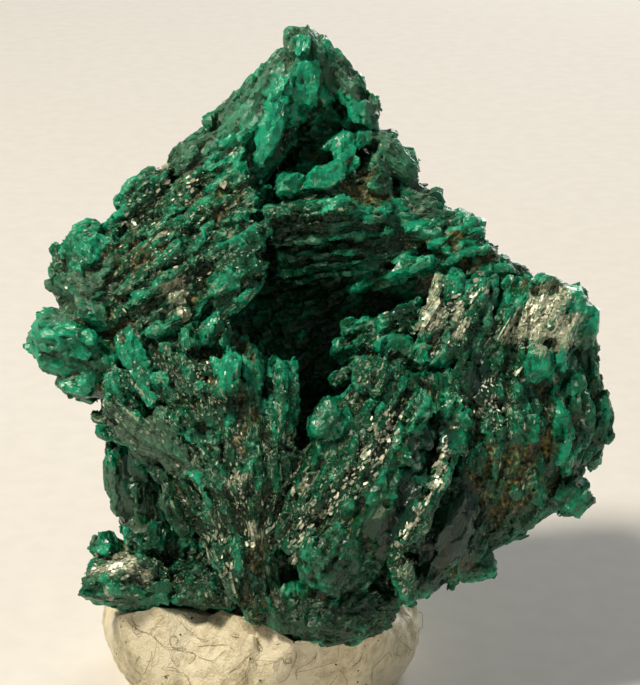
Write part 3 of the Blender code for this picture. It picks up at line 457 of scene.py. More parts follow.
# %% Slabs
# each row: three places across and up, width, thickness, how many leaves
SLABS = [
    (((-0.6, 14.2), (-0.9, 13.1), (-0.6, 11.9)), 1.3, 0.7, 2),
    (((-1.5, 13.6), (-2.9, 11.9), (-4.0, 10.3)), 1.15, 0.8, 2),
    (((-1.9, 12.7), (-2.4, 10.9), (-3.0, 9.2)), 1.0, 0.8, 2),
    (((-1.4, 14.4), (-1.0, 14.9), (-0.4, 14.6)), 0.9, 0.7, 2),
    (((-0.1, 14.3), (0.3, 13.5), (0.2, 12.7)), 0.6, 0.5, 1),
    (((0.3, 12.2), (0.6, 11.3), (0.8, 10.4)), 0.7, 0.5, 1),
    (((1.1, 12.5), (1.7, 11.9), (2.3, 10.9)), 0.8, 0.6, 1),
    (((-0.3, 10.0), (1.6, 10.15), (3.3, 10.35)), 0.35, 0.5, 1),
    (((1.3, 10.0), (1.3, 9.2), (1.2, 8.4)), 0.9, 0.7, 2),
    (((1.5, 8.8), (0.4, 8.35), (-0.8, 7.9)), 0.85, 0.7, 2),
    (((-2.1, 7.6), (-1.5, 7.9), (-0.9, 7.8)), 1.1, 0.8, 2),
    (((0.1, 6.5), (0.8, 6.8), (1.5, 6.8)), 0.9, 0.7, 2),
    (((-5.2, 1.5), (-4.1, 2.3), (-2.9, 3.4)), 1.0, 0.7, 2),
    (((-5.8, 2.6), (-4.6, 3.2), (-3.0, 4.4)), 1.0, 0.8, 2),
    (((-5.5, 3.7), (-4.0, 4.6), (-2.5, 5.8)), 1.3, 0.8, 2),
    (((-5.3, 5.0), (-4.2, 5.7), (-2.9, 6.7)), 1.0, 0.7, 2),
    (((-8.0, 4.6), (-7.3, 5.1), (-6.5, 5.5)), 0.6, 0.5, 1),
    (((-6.8, 4.4), (-6.2, 4.8), (-5.5, 5.2)), 0.55, 0.5, 1),
    (((-10.2, 3.1), (-9.6, 3.6), (-8.9, 3.9)), 0.7, 0.5, 1),
    (((-9.4, 2.6), (-8.8, 3.1), (-8.1, 3.5)), 0.6, 0.5, 1),
    (((-7.6, 6.6), (-6.8, 7.2), (-5.9, 7.6)), 0.6, 0.5, 1),
    (((-5.2, 7.7), (-4.3, 8.3), (-3.4, 8.7)), 0.8, 0.6, 1),
    (((-6.0, 8.3), (-5.3, 8.7), (-4.6, 9.2)), 0.5, 0.5, 1),
    (((-12.4, 5.2), (-11.7, 5.5), (-10.9, 5.5)), 0.9, 0.7, 2),
    (((-13.2, 2.9), (-12.3, 3.0), (-11.3, 2.5)), 0.9, 0.6, 2),
    (((-11.2, 3.2), (-10.5, 3.7), (-9.9, 4.4)), 0.6, 0.5, 1),
    (((-10.7, -0.7), (-12.5, -0.4), (-14.2, -0.3)), 2.2, 1.2, 1),
    (((-10.9, -2.0), (-11.8, -2.2), (-12.8, -2.3)), 1.0, 0.8, 2),
    (((-10.4, -2.9), (-10.3, -1.9), (-10.0, -1.0)), 0.9, 0.6, 2),
    (((-9.9, 0.6), (-9.2, -0.8), (-8.3, -2.2)), 0.95, 0.6, 2),
    (((-5.7, -0.1), (-5.2, 0.5), (-4.9, 1.2)), 1.1, 0.8, 2),
    (((-6.7, -0.3), (-6.3, 0.2), (-6.1, 0.9)), 0.8, 0.7, 1),
    (((-5.0, -2.9), (-4.4, -1.5), (-4.3, -0.2)), 0.7, 0.6, 1),
    (((-3.7, -3.4), (-3.4, -2.0), (-3.2, -0.8)), 0.6, 0.5, 1),
    (((-1.7, -5.0), (-1.6, -3.0), (-1.8, -0.9)), 1.0, 0.7, 2),
    (((-1.6, -6.9), (-1.5, -6.1), (-1.4, -5.3)), 0.8, 0.6, 1),
    (((-4.3, -11.9), (-4.0, -10.8), (-3.7, -9.8)), 0.65, 0.6, 1),
    (((-5.1, -9.4), (-4.8, -11.0), (-4.2, -12.8)), 0.6, 0.5, 1),
    (((-11.0, -3.9), (-8.6, -4.8), (-6.0, -6.4)), 1.5, 0.5, 3),
    (((-10.1, -4.9), (-10.0, -6.8), (-9.7, -8.6)), 1.1, 0.9, 2),
    (((-9.1, -5.2), (-9.0, -7.0), (-8.8, -8.7)), 0.8, 0.8, 1),
    (((-11.1, -10.3), (-10.7, -10.1), (-10.1, -9.9)), 1.0, 0.7, 2),
    (((-11.4, -12.9), (-11.3, -12.1), (-11.0, -11.5)), 0.9, 0.7, 2),
    (((-9.2, -13.0), (-8.2, -12.6), (-7.2, -12.3)), 0.8, 0.6, 1),
    (((0.1, -5.3), (0.6, -4.2), (1.1, -3.2)), 1.7, 1.0, 2),
    (((2.2, -3.0), (2.5, -1.8), (2.4, -0.8)), 1.4, 0.8, 2),
    (((4.3, -3.7), (3.9, -5.2), (3.0, -6.9)), 0.7, 0.6, 1),
    (((0.3, -6.4), (-0.2, -7.6), (-1.0, -8.6)), 0.7, 0.6, 1),
    (((-0.2, -9.1), (0.5, -10.4), (1.6, -11.6)), 2.4, 1.3, 2),
    (((5.5, -6.6), (4.2, -8.4), (2.8, -10.1)), 0.9, 0.5, 2),
    (((6.3, -5.6), (5.8, -7.2), (4.9, -8.6)), 0.9, 0.8, 2),
    (((5.0, -8.4), (4.3, -9.6), (3.6, -10.6)), 0.8, 0.8, 1),
    (((3.7, -10.4), (4.2, -11.6), (4.5, -12.8)), 0.8, 0.7, 1),
    (((7.4, -7.2), (6.4, -9.4), (5.3, -11.6)), 1.5, 0.6, 3),
    (((6.7, -5.3), (6.8, -4.4), (6.9, -3.4)), 1.1, 0.8, 2),
    (((7.3, -6.5), (7.4, -5.9), (7.4, -5.2)), 0.75, 0.6, 1),
    (((10.3, -5.1), (10.4, -4.3), (10.2, -3.5)), 0.9, 0.6, 2),
    (((11.6, -2.9), (12.2, -4.8), (11.9, -6.8)), 0.9, 0.7, 2),
    (((10.7, -1.9), (10.9, -1.1), (11.0, -0.2)), 0.9, 0.7, 2),
    (((9.4, -2.6), (9.8, -1.7), (10.0, -0.9)), 0.6, 0.5, 1),
    (((12.3, -8.4), (12.8, -7.9), (13.2, -7.2)), 1.2, 0.8, 2),
    (((13.6, -2.0), (14.0, -3.6), (13.9, -5.2)), 1.1, 0.7, 2),
    (((12.6, -1.6), (13.0, -3.2), (13.0, -4.8)), 0.8, 0.6, 1),
    (((9.3, -9.3), (9.6, -8.6), (10.0, -7.9)), 0.9, 0.6, 2),
    (((11.0, -8.3), (10.0, -9.0), (9.0, -9.8)), 0.8, 0.6, 1),
    (((5.4, 4.7), (5.7, 5.3), (5.9, 6.0)), 0.75, 0.6, 1),
    (((7.0, 5.6), (7.5, 5.8), (8.1, 5.4)), 0.7, 0.6, 1),
    (((3.2, 10.2), (3.8, 9.4), (4.3, 8.6)), 0.9, 0.6, 2),
    (((8.3, 0.2), (8.8, 1.2), (9.2, 2.2)), 0.6, 0.4, 1),
    (((3.6, 0.9), (4.2, 1.4), (4.8, 1.5)), 0.8, 0.6, 1),
    (((3.0, -0.4), (3.9, -0.3), (4.8, -0.7)), 0.8, 0.6, 1),
    (((4.9, -1.3), (4.8, -2.4), (4.5, -3.5)), 0.9, 0.8, 2),
    (((6.1, -1.2), (6.0, -2.3), (5.6, -3.6)), 0.9, 0.8, 2),
    (((7.3, -0.9), (7.3, -2.1), (7.1, -3.5)), 1.0, 0.9, 2),
    (((8.6, -0.9), (8.7, -2.0), (8.6, -3.4)), 1.0, 0.9, 2),
    (((10.1, -0.9), (9.9, -1.8), (9.5, -2.9)), 0.9, 0.8, 2),
    (((6.6, -2.3), (7.9, -2.4), (9.2, -2.3)), 0.8, 0.7, 1),
    (((6.3, -3.4), (6.6, -4.6), (6.5, -5.8)), 1.1, 1.0, 2),
    (((7.3, -4.9), (7.6, -5.9), (7.4, -7.0)), 1.0, 0.9, 2),
    (((6.9, -6.9), (6.6, -8.2), (6.0, -9.6)), 1.3, 0.8, 2),
    (((-7.6, -7.4), (-7.0, -8.6), (-6.2, -9.8)), 1.0, 0.9, 2),
    (((4.8, -3.1), (5.8, -3.4), (6.7, -3.2)), 1.1, 1.1, 2),
    (((5.2, -4.2), (5.9, -3.6), (6.6, -2.9)), 1.0, 1.1, 2),
    (((4.5, -2.8), (5.0, -3.5), (5.0, -4.3)), 1.2, 1.1, 2),
    (((6.5, -2.6), (6.6, -3.3), (6.6, -4.1)), 1.2, 1.1, 2),
    (((-11.0, -3.7), (-8.8, -4.6), (-6.3, -6.3)), 1.5, 0.6, 1),
    (((4.9, -7.2), (4.4, -8.6), (3.6, -10.2)), 1.3, 0.6, 1),
    (((7.3, -7.5), (6.7, -9.4), (5.9, -11.5)), 1.9, 0.7, 1),
    (((5.6, -4.0), (5.0, -5.2), (4.4, -6.6)), 1.0, 0.6, 1),
    (((5.1, -3.4), (5.1, -4.3), (5.0, -5.2)), 1.2, 1.0, 2),
    (((6.4, -3.4), (6.4, -4.3), (6.3, -5.2)), 1.2, 1.0, 2),
    (((5.3, -7.9), (4.8, -9.2), (4.3, -10.5)), 1.0, 0.9, 2),
    (((6.3, -7.9), (5.9, -9.2), (5.4, -10.4)), 0.9, 0.8, 2),
    (((10.1, -0.6), (10.8, 1.0), (11.4, 2.6)), 1.6, 0.6, 1),
    (((11.4, -0.4), (12.0, 0.9), (12.3, 2.2)), 1.5, 0.6, 1),
]
print("slabs:", len(SLABS))

# %% [markdown]
# ### Building a slab
# The three places of a path give a parabola. Each leaf runs along it beside its neighbours, starts and
# ends a little elsewhere than they do, and leans a little its own way. Its corners are moved at random,
# because no two crystals are cut alike.

# %% Building the slabs
SECTION = ((1.0, 0.15), (0.7, 0.95), (-0.65, 1.0), (-1.0, 0.2), (-0.8, -0.9), (0.85, -0.8))
SECTION_WOBBLE = 0.16
RING_SHARES = (0.0, 0.14, 0.5, 0.86, 1.0)
RING_TAPER = (0.5, 0.92, 1.0, 0.9, 0.45)
END_SLANT = 0.6  # how far a leaf's ends slant at the most, as a share of half its width
LEVELLED = 0.3  # millimetres that a place may move in or out, so that a slab lies straight
LEAF_STARTS, LEAF_ENDS = (0.0, 0.2), (0.8, 1.0)  # where along the path a leaf starts and ends
LEAF_OVERLAP = 1.25  # how much wider a leaf is than its share of the slab
LEAF_WIDTHS = (0.85, 1.2)
LEAF_THICKNESS = 0.75  # as a share of the slab's
LEAF_LEAN = 0.3
SLAB_RISE = 0.05  # how far a slab stands out of the surface, as a share of its thickness
SLAB_BULGE = 0.6  # how much further its middle leaves stand out
LIFT_WOBBLE = 0.06


def at_shares(places, shares):
    """Places at these shares of the way along a parabola through three places."""
    first, middle, last = places
    bend = 2 * middle - (first + last) / 2
    shares = shares[:, None]
    return first * (1 - shares) ** 2 + bend * 2 * shares * (1 - shares) + last * shares**2


def joined(work, rings):
    """Draws faces between rings of corners that follow each other."""
    for ring, following in zip(rings, rings[1:]):
        for k in range(len(ring)):
            after = (k + 1) % len(ring)
            work.faces.new((ring[k], ring[after], following[after], following[k]))


def add_leaf(work, line, outward, width, thickness, rng):
    """One flat crystal with sharp corners and slanted ends, along a line of places."""
    wobble = SECTION_WOBBLE
    corners = [(x + rng.uniform(-1, 1) * wobble, y + rng.uniform(-1, 1) * wobble) for x, y in SECTION]
    slants = rng.uniform(-END_SLANT, END_SLANT, 2)
    last = len(line) - 1
    rings = []
    for k, place in enumerate(line):
        run = unit(line[min(k + 1, last)] - line[max(k - 1, 0)])
        side = unit(np.cross(outward, run))
        flat = np.cross(run, side)
        slant = slants[0] if k == 0 else slants[1] if k == last else 0
        ring = []
        for x, y in corners:
            across = side * x * width / 2 * RING_TAPER[k] + run * x * width / 2 * slant
            over = flat * y * thickness / 2 * RING_TAPER[k]
            ring.append(work.verts.new(place + (across + over) * MM))
        rings.append(ring)
    joined(work, rings)
    work.faces.new(rings[0][::-1])
    work.faces.new(rings[-1])


def add_slab(work, path, width, thickness, leaves, rng):
    """A slab as a stack of leaves that follow the same path side by side."""
    hits = [hit_from_eye(solid_tree, *spot) for spot in path]
    places = np.array([place for place, _ in hits])
    outward = unit(sum(normal for _, normal in hits) + OUT)
    depths = places @ OUT
    places += OUT * np.clip(np.median(depths) - depths, -LEVELLED * MM, LEVELLED * MM)[:, None]
    side = unit(np.cross(outward, places[2] - places[0]))
    leaf_width = width / leaves * LEAF_OVERLAP
    for k in range(leaves):
        share = (k + 0.5) / leaves - 0.5
        start, end = rng.uniform(*LEAF_STARTS), rng.uniform(*LEAF_ENDS)
        shares = start + (end - start) * np.array(RING_SHARES)
        bulge = thickness * (0.25 - share**2)
        lift = thickness * SLAB_RISE + bulge * SLAB_BULGE + rng.uniform(-LIFT_WOBBLE, LIFT_WOBBLE)
        line = at_shares(places, shares) + (side * share * width + outward * lift) * MM
        lean = unit(outward + side * rng.uniform(-LEAF_LEAN, LEAF_LEAN))
        across = leaf_width * rng.uniform(*LEAF_WIDTHS)
        add_leaf(work, line, lean, across, thickness * LEAF_THICKNESS, rng)


def make_slabs():
    work = bmesh.new()
    rng = np.random.default_rng(3)
    for path, width, thickness, leaves in SLABS:
        add_slab(work, path, width, thickness, leaves, rng)
    bmesh.ops.recalc_face_normals(work, faces=work.faces)
    return new_mesh("slabs", work)


slabs = make_slabs()
print("slab faces:", len(slabs.polygons))

# %% [markdown]
# ## The skin of the body
# A crystal aggregate is a heap of flat faces: where two crystals meet, the surface steps or turns
# sharply, and a dark crevice is left between them. Sculpting thousands of them by hand would take days,
# so numpy does it on one even skin. A voxel Remesh joins the solid and the slabs under that skin. Each of
# its points then learns which zones it lies in and which way the crystals grow there. The zones are
# known on the display side alone, so soft waves put patches of rust, dust and bright crystal on the back.

# %% Skin
SKIN_SPACING = 0.15
BACK_PATCHES = {"rusty": (0.8, 0.0), "dusty": (0.5, 2.0), "bright": (0.9, 5.0)}  # pace and shift
FRONT_EDGE = (0.25, 2.5)  # how far round the sides the zones reach, and how sharply they end there
rng = np.random.default_rng(7)


def patches(points, fast, shift):
    """Soft patches, from 0 to 1, for the sides that the zones don't reach."""
    x, y, z = (points / MM).T * fast
    wave = np.sin(x + 0.7 * z + shift) * np.sin(z - 0.8 * y - shift) + 0.5 * np.sin(2.3 * x - 1.7 * z + y)
    return np.clip((wave - 0.4) / 0.4, 0, 1)


def painted(mesh):
    """The points, their normals, and the zones and growth directions there."""
    points, normals = rows_of(mesh, "co"), rows_of(mesh, "normal")
    face = wandering(on_face(points))
    front = np.clip((normals @ OUT + FRONT_EDGE[0]) * FRONT_EDGE[1], 0, 1)
    kept = {name: zone(ellipses, face) * front for name, ellipses in zones.items()}
    for name, (fast, shift) in BACK_PATCHES.items():
        kept[name] = np.maximum(kept[name], patches(points, fast, shift) * (1 - front))
    kept["along"], kept["broad"] = growth(points)
    return points, normals, kept


def weighed(start, weights, kept):
    """A value at each point: a start, and a share of each zone that is named."""
    total = start
    for name, weight in weights.items():
        total = total + weight * kept[name]
    return total


work = merged(solid)
work.from_mesh(slabs)
body = skinned("crystal_body", work, SKIN_SPACING)
print("skin faces:", len(body.data.polygons))

# %% [markdown]
# ### A seed for each small crystal
# Each small crystal is a seed on the skin, with its own length, width, tilt and one random number. Every
# point of the skin goes to the seed that it is nearest to, measured in that crystal's own stretched
# space. Where the second nearest seed is almost as near, two crystals meet, and that is a crevice.

# %% Seeds
CRYSTAL_SIZE = (0.9, 0.3, 0.24)  # half the usual length, width and thickness
CRYSTALS_PER_MM2 = 3.0
SIZE_BY_ZONE = {"bright": 0.5, "glassy": 1.5, "glittering": -0.4}
SIZE_RANGE = (-0.35, 0.45)
LEAST_SIZE = 0.35
FACE_TILT = 0.24
FACE_LIFT = 0.065
CALM_SMOOTH, CALM_GLASSY = 0.4, 0.9  # how much less the faces tilt and step in smooth and glassy zones
CREVICE_WIDTH = 0.22  # as a share of a crystal's size
NEAR_SEEDS = 9


def drawn_crystals(points, normals, kept, count):
    """Seeds on the skin: for each its place, size, axes, flat face, random number and zones."""
    seeds = rng.choice(len(points), count, replace=False)
    whole = {name: kept[name][seeds] for name in zones}  # a crystal lies in a zone as a whole
    draw = rng.uniform(0, 1, count)
    size = weighed(1, SIZE_BY_ZONE, whole) + rng.uniform(*SIZE_RANGE, count)
    half = np.clip(size, LEAST_SIZE, None)[:, None] * np.array(CRYSTAL_SIZE) * MM
    along, broad = kept["along"][seeds], kept["broad"][seeds]
    smooth = np.maximum(np.maximum(whole["bright"], whole["silvery"]), whole["dusty"]) * CALM_SMOOTH
    calm = 1 - np.maximum(smooth, whole["glassy"] * CALM_GLASSY)
    face_way = unit(normals[seeds] + rng.normal(0, FACE_TILT, (count, 3)) * calm[:, None])
    lift = rng.uniform(-1, 1, count) * FACE_LIFT * MM * calm
    base = points[seeds] + normals[seeds] * lift[:, None]
    return points[seeds], half, (along, np.cross(broad, along), broad), face_way, base, draw, whole


def nearest_crystals(points, places, half, axes):
    """Each point's crystal, its place in that crystal's own space, and how deep in a crevice it is."""
    tree = KDTree(len(places))
    for k, place in enumerate(places):
        tree.insert(place, k)
    tree.balance()
    near = np.array([[k for _, k, _ in tree.find_n(place, NEAR_SEEDS)] for place in points])
    away = points[:, None, :] - places[near]
    own = np.stack([(away * way[near]).sum(2) for way in axes], axis=2) / half[near]
    reach = np.sqrt((own * own).sum(2))
    order = np.argsort(reach, axis=1)
    rows = np.arange(len(points))
    best, second = order[:, 0], order[:, 1]
    margin = reach[rows, second] - reach[rows, best]
    return near[rows, best], own[rows, best], np.clip(1 - margin / CREVICE_WIDTH, 0, 1)


points, normals, kept = painted(body.data)
area = sum(p.area for p in body.data.polygons) / MM**2
places, half, axes, face_way, base, draw, whole = drawn_crystals(
    points, normals, kept, int(area * CRYSTALS_PER_MM2)
)
mine, own, crevice = nearest_crystals(points, places, half, axes)
print("crystals:", len(places))

# %% [markdown]
# ### Flat faces, crevices and ribs
# Now the skin moves. Each point goes on to its crystal's flat face and sinks a little in a crevice. Along
# the growth run fine ribs as well, for the crystals lie like reeds in a sheaf: a random value at every
# place in space is averaged over a short line in the direction of growth, which turns plain noise into
# streaks.

# %% Faces and ribs
MOST_SHIFT = 0.15
STEEPEST = 0.35  # a face that leans further than this from the skin counts as leaning this far
CREVICE_DEPTH = 0.05
RIBS = ((0.24, 1.2, 0.022, 0.06), (0.6, 3.0, 0.045, 0.05))  # apart, half length, height, effect on tone
RIB_SAMPLES = 12  # on each side of a point
RANDOM_VALUES = 9973
CELL_PRIMES = (73856093, 19349663, 83492791)  # they spread neighbouring cells over the random values


def streaks(points, along, apart, reach, table):
    """A value near -1 to 1 at each point that changes slowly along the growth and quickly across it."""
    total = np.zeros(len(points))
    for k in range(-RIB_SAMPLES, RIB_SAMPLES + 1):
        cells = np.floor((points + along * (k / RIB_SAMPLES * reach * MM)) / (apart * MM)).astype(np.int64)
        total += table[(cells @ CELL_PRIMES) % len(table)]
    return total / total.std()


steep = (normals * face_way[mine]).sum(1)
shift = ((base[mine] - points) * face_way[mine]).sum(1) / np.maximum(steep, STEEPEST)
shift = np.clip(shift, -MOST_SHIFT * MM, MOST_SHIFT * MM)
shift -= crevice * CREVICE_DEPTH * MM * (1 - 0.5 * kept["bright"])
table = rng.uniform(-1, 1, RANDOM_VALUES)
ribs = [streaks(points, kept["along"], apart, reach, table) for apart, reach, _, _ in RIBS]
plain = 1 - np.maximum(0.2 * kept["bright"], 0.9 * kept["glassy"])
for rib, (_, _, height, _) in zip(ribs, RIBS):
    shift += rib * height * MM * plain
set_points(body.data, points + normals * shift[:, None])
print("points moved in and out by up to mm:", round(np.abs(shift).max() / MM, 2))

# %% [markdown]
# ### Tones, and fewer faces
# A crystal's tone says how bright its green is, and the material reads it from the points. It comes from
# the crystal's zones and its height, with painted shade in crevices and hollows and painted highlight on
# proud places. How hollow a place is follows from smoothing a copy of the skin: where the smoothed copy
# lies outside the skin, the skin is hollow.
# At last Decimate takes faces away wherever the skin came out flat, and sharp edges are marked.

# %% Tones
PLAIN_TONE = -0.25  # the material adds its patterns, which make this a middle green
BRIGHT_TONE = 0.19
# the shaded tone is painted shade
OTHER_TONES = {"shaded": -0.22, "glittering": -0.11, "glassy": -0.1}
# painted shade darkens crevices and hollows, and painted highlight lightens proud places
CREVICE_PAINTED_SHADE = -0.14
HOLLOW_SHADE_AND_HIGHLIGHT = -0.18
HEIGHT_TONES = ((-8.0, -0.15), (0.0, -0.03), (6.0, 0.0), (12.0, 0.06))  # darker below, bright at the peak
LOW_BRIGHT = ((-10.0, 1.0), (-9.0, 0.4), (-6.0, 0.4), (1.0, 1.0))  # how much of the bright tone is left
SMOOTHINGS = 40
FULL_HOLLOW = 0.12
MOST_TRIANGLES = 197000  # the body is thinned to this many
SHARP_ANGLE = 9.0  # degrees


def hollows(mesh):
    """How hollow (up to 1) or how proud (down to -1) the surface is at each point."""
    points, normals = rows_of(mesh, "co"), rows_of(mesh, "normal")
    edges = np.empty((len(mesh.edges), 2), np.int32)
    mesh.edges.foreach_get("vertices", edges.ravel())
    ends = np.concatenate((edges, edges[:, ::-1]))
    valence = np.bincount(ends[:, 0], minlength=len(points))[:, None]
    even = points
    for _ in range(SMOOTHINGS):
        sums = [np.bincount(ends[:, 0], even[ends[:, 1], k], len(points)) for k in range(3)]
        even = (even + np.stack(sums, axis=1) / valence) / 2
    return np.clip(((even - points) * normals).sum(1) / (FULL_HOLLOW * MM), -1, 1)


def ragged(share, draw, blur, start, width):
    """A zone's share for each crystal. Its random number makes the zone's edge ragged."""
    return np.clip((share + (draw - 0.5) * blur - start) / width, 0, 1)


def crystal_tones(height, draw, whole):
    """How bright each crystal is, from its height, its own random number and its zones."""
    lit = ragged(whole["bright"], draw, 0.9, 0.25, 0.5)
    tone = PLAIN_TONE + BRIGHT_TONE * lit * np.interp(height, *zip(*LOW_BRIGHT))
    return weighed(tone, OTHER_TONES, whole) + np.interp(height, *zip(*HEIGHT_TONES))


hollow = hollows(body.data)
tone = crystal_tones(on_face(places)[:, 1], draw, whole)[mine]
# painted shade and light along the ribs: darker in their grooves, lighter on their crests
tone += sum(rib * share for rib, (_, _, _, share) in zip(ribs, RIBS)) * plain
put(body.data, "own", own)
put(body.data, "crystal", draw[mine])
put(body.data, "dusty", ragged(whole["dusty"], draw, 0.8, 0.4, 0.3)[mine])
for name in ("rusty", "glittering", "silvery", "glassy"):
    put(body.data, name, kept[name])
# painted shade in crevices and hollows, and painted highlight on proud places
put(body.data, "tone", tone + CREVICE_PAINTED_SHADE * crevice + HOLLOW_SHADE_AND_HIGHLIGHT * hollow)
put(body.data, "hollow", hollow)
fewer = body.modifiers.new("fewer", "DECIMATE")
fewer.ratio = MOST_TRIANGLES / triangles_in(body.data)
applied(body)
body.data.shade_smooth()
body.data.set_sharp_from_angle(angle=math.radians(SHARP_ANGLE))
print("body triangles:", triangles_in(body.data))

# %% [markdown]
# ## Plates that stand on the body
# Between the large crystals grow thousands of thin plates, half a millimetre long or less. They are all
# one shape, so Geometry Nodes scatter it: points spread over the body, and each takes a six-sided plate
# with slanted rims, turned along the growth there and a little out of true. The body's zones ride along
# on the points, so a plate knows its colour. Realize Instances makes them plain faces at the end. One
# small function, `add_node`, builds this tree and every material after it.

# %% The node tree for plates


def set_inputs(tree, sockets, values):
    """Sets sockets by name or number, each to a value or to a link from another node's output."""
    for socket, value in values.items():
        if isinstance(value, bpy.types.NodeSocket):
            tree.links.new(value, sockets[socket])
        else:
            sockets[socket].default_value = value


def add_node(tree, kind, settings=None, inputs=None):
    """Adds a node with its settings, its values and its links."""
    node = tree.nodes.new(kind)
    for name, value in (settings or {}).items():
        setattr(node, name, value)
    set_inputs(tree, node.inputs, inputs or {})
    return node


def plate_tree():
    """Geometry Nodes that stand thin plates on a mesh and turn them along the growth."""
    tree = bpy.data.node_groups.new("plates_along_the_growth", "GeometryNodeTree")
    for kind, names in (
        ("Geometry", ["Geometry"]),
        ("Float", ["Plates per m2", "Longest", "Width share", "Thickness share", "Spread"]),
        ("Int", ["Seed"]),
        ("Material", ["Material"]),
    ):
        for name in names:
            tree.interface.new_socket(name, in_out="INPUT", socket_type="NodeSocket" + kind)
    tree.interface.new_socket("Geometry", in_out="OUTPUT", socket_type="NodeSocketGeometry")
    given = add_node(tree, "NodeGroupInput").outputs
    thickly, coarse, along, broad = (
        add_node(tree, "GeometryNodeInputNamedAttribute", {"data_type": kind}, {"Name": name}).outputs[0]
        for kind, name in (
            ("FLOAT", "thickly"),
            ("FLOAT", "coarse"),
            ("FLOAT_VECTOR", "plate_along"),
            ("FLOAT_VECTOR", "plate_broad"),
        )
    )
    # points on the mesh, close together where the cluster is thickly grown
    product = {"operation": "MULTIPLY"}
    density = add_node(tree, "ShaderNodeMath", product, {0: given["Plates per m2"], 1: thickly}).outputs[0]
    spots = {"Mesh": given["Geometry"], "Density": density, "Seed": given["Seed"]}
    spots = add_node(tree, "GeometryNodeDistributePointsOnFaces", {"distribute_method": "RANDOM"}, spots)
    # one six-sided plate with slanted rims, which remembers its own coordinates and stands a little sunk
    form = {"Vertices": 6, "Side Segments": 1, "Radius Top": 0.8, "Radius Bottom": 1.0, "Depth": 1.0}
    blank = add_node(tree, "GeometryNodeMeshCone", {"fill_type": "NGON"}, form).outputs["Mesh"]
    local = add_node(tree, "GeometryNodeInputPosition").outputs[0]
    stored = {"data_type": "FLOAT_VECTOR", "domain": "POINT"}
    plate = {"Geometry": blank, "Name": "own", "Value": local}
    plate = add_node(tree, "GeometryNodeStoreNamedAttribute", stored, plate).outputs[0]
    sunk = {"Geometry": plate, "Translation": (0.0, 0.0, -0.45)}
    sunk = add_node(tree, "GeometryNodeTransform", None, sunk).outputs[0]
    # turned along the growth and to its broad side, and then a little out of true
    turned = add_node(tree, "FunctionNodeAlignRotationToVector", {"axis": "X"}, {"Vector": along})
    faced = {"Rotation": turned.outputs[0], "Vector": broad}
    turned = add_node(tree, "FunctionNodeAlignRotationToVector", {"axis": "Z", "pivot_axis": "X"}, faced)
    least = add_node(tree, "ShaderNodeMath", product, {0: given["Spread"], 1: -1.0}).outputs[0]
    lean = {0: least, 1: given["Spread"], "Seed": given["Seed"]}
    lean = add_node(tree, "FunctionNodeRandomValue", {"data_type": "FLOAT_VECTOR"}, lean).outputs[0]
    lean = add_node(tree, "FunctionNodeEulerToRotation", None, {0: lean}).outputs[0]
    both = {0: turned.outputs[0], 1: lean}
    turned = add_node(tree, "FunctionNodeRotateRotation", {"rotation_space": "LOCAL"}, both).outputs[0]
    # most plates are small and a few are large
    number = {"data_type": "FLOAT"}
    chance = add_node(tree, "FunctionNodeRandomValue", number, {2: 0.0, 3: 1.0, "Seed": 3}).outputs[1]
    rare = add_node(tree, "ShaderNodeMath", {"operation": "POWER"}, {0: chance, 1: 2.2}).outputs[0]
    share = {0: rare, 1: 0.8, 2: 0.2}
    size = add_node(tree, "ShaderNodeMath", {"operation": "MULTIPLY_ADD"}, share).outputs[0]
    for factor in (coarse, given["Longest"]):
        size = add_node(tree, "ShaderNodeMath", product, {0: size, 1: factor}).outputs[0]
    width, depth = (
        add_node(tree, "ShaderNodeMath", product, {0: size, 1: given[share]}).outputs[0]
        for share in ("Width share", "Thickness share")
    )
    scale = add_node(tree, "ShaderNodeCombineXYZ", None, {0: size, 1: width, 2: depth}).outputs[0]
    uneven = {0: (0.75, 0.6, 0.6), 1: (1.25, 1.4, 1.5), "Seed": 11}
    uneven = add_node(tree, "FunctionNodeRandomValue", {"data_type": "FLOAT_VECTOR"}, uneven).outputs[0]
    scale = add_node(tree, "ShaderNodeVectorMath", product, {0: scale, 1: uneven}).outputs[0]
    placed = {"Points": spots.outputs["Points"], "Instance": sunk, "Rotation": turned, "Scale": scale}
    standing = add_node(tree, "GeometryNodeInstanceOnPoints", None, placed).outputs[0]
    # one random number for each plate, then plain faces with their material
    shade = add_node(tree, "FunctionNodeRandomValue", number, {2: 0.0, 3: 1.0, "Seed": 5}).outputs[1]
    marked = {"Geometry": standing, "Name": "crystal", "Value": shade}
    stored = {"data_type": "FLOAT", "domain": "INSTANCE"}
    marked = add_node(tree, "GeometryNodeStoreNamedAttribute", stored, marked).outputs[0]
    real = add_node(tree, "GeometryNodeRealizeInstances", None, {0: marked}).outputs[0]
    finished = {"Geometry": real, "Material": given["Material"]}
    finished = add_node(tree, "GeometryNodeSetMaterial", None, finished).outputs[0]
    add_node(tree, "NodeGroupOutput", None, {0: finished})
    return tree


plates = plate_tree()
print("plate tree nodes:", len(plates.nodes))

# %% [markdown]
# ## Crystal finish
# Euchroite has a vitreous lustre and a refractive index near 1.71, so its faces are glossy and its green
# comes from inside. The colour runs from black-green to a clear bright green: crevices and hollows are
# darker, as painted shade, and proud edges lighter, as painted highlight. The material reads the tone
# kept for each crystal, one random number for each, and each crystal's own coordinates for the fine
# lines that run along it. Ochre specks and dust come on top, where their zones are, and so do a silvery
# mottle of split faces whose pale colour is painted reflection, a grey painted sheen on glassy faces
# and small pale painted glints.

# %% Colours and pattern sizes


def linear(code):
    """The linear colour of an sRGB hex code."""
    parts = [int(code[i : i + 2], 16) / 255 for i in (1, 3, 5)]
    return tuple(p / 12.92 if p <= 0.04045 else ((p + 0.055) / 1.055) ** 2.4 for p in parts) + (1.0,)


def per(size):
    """The scale of a texture whose features are this many millimetres apart."""
    return 1 / (size * MM)


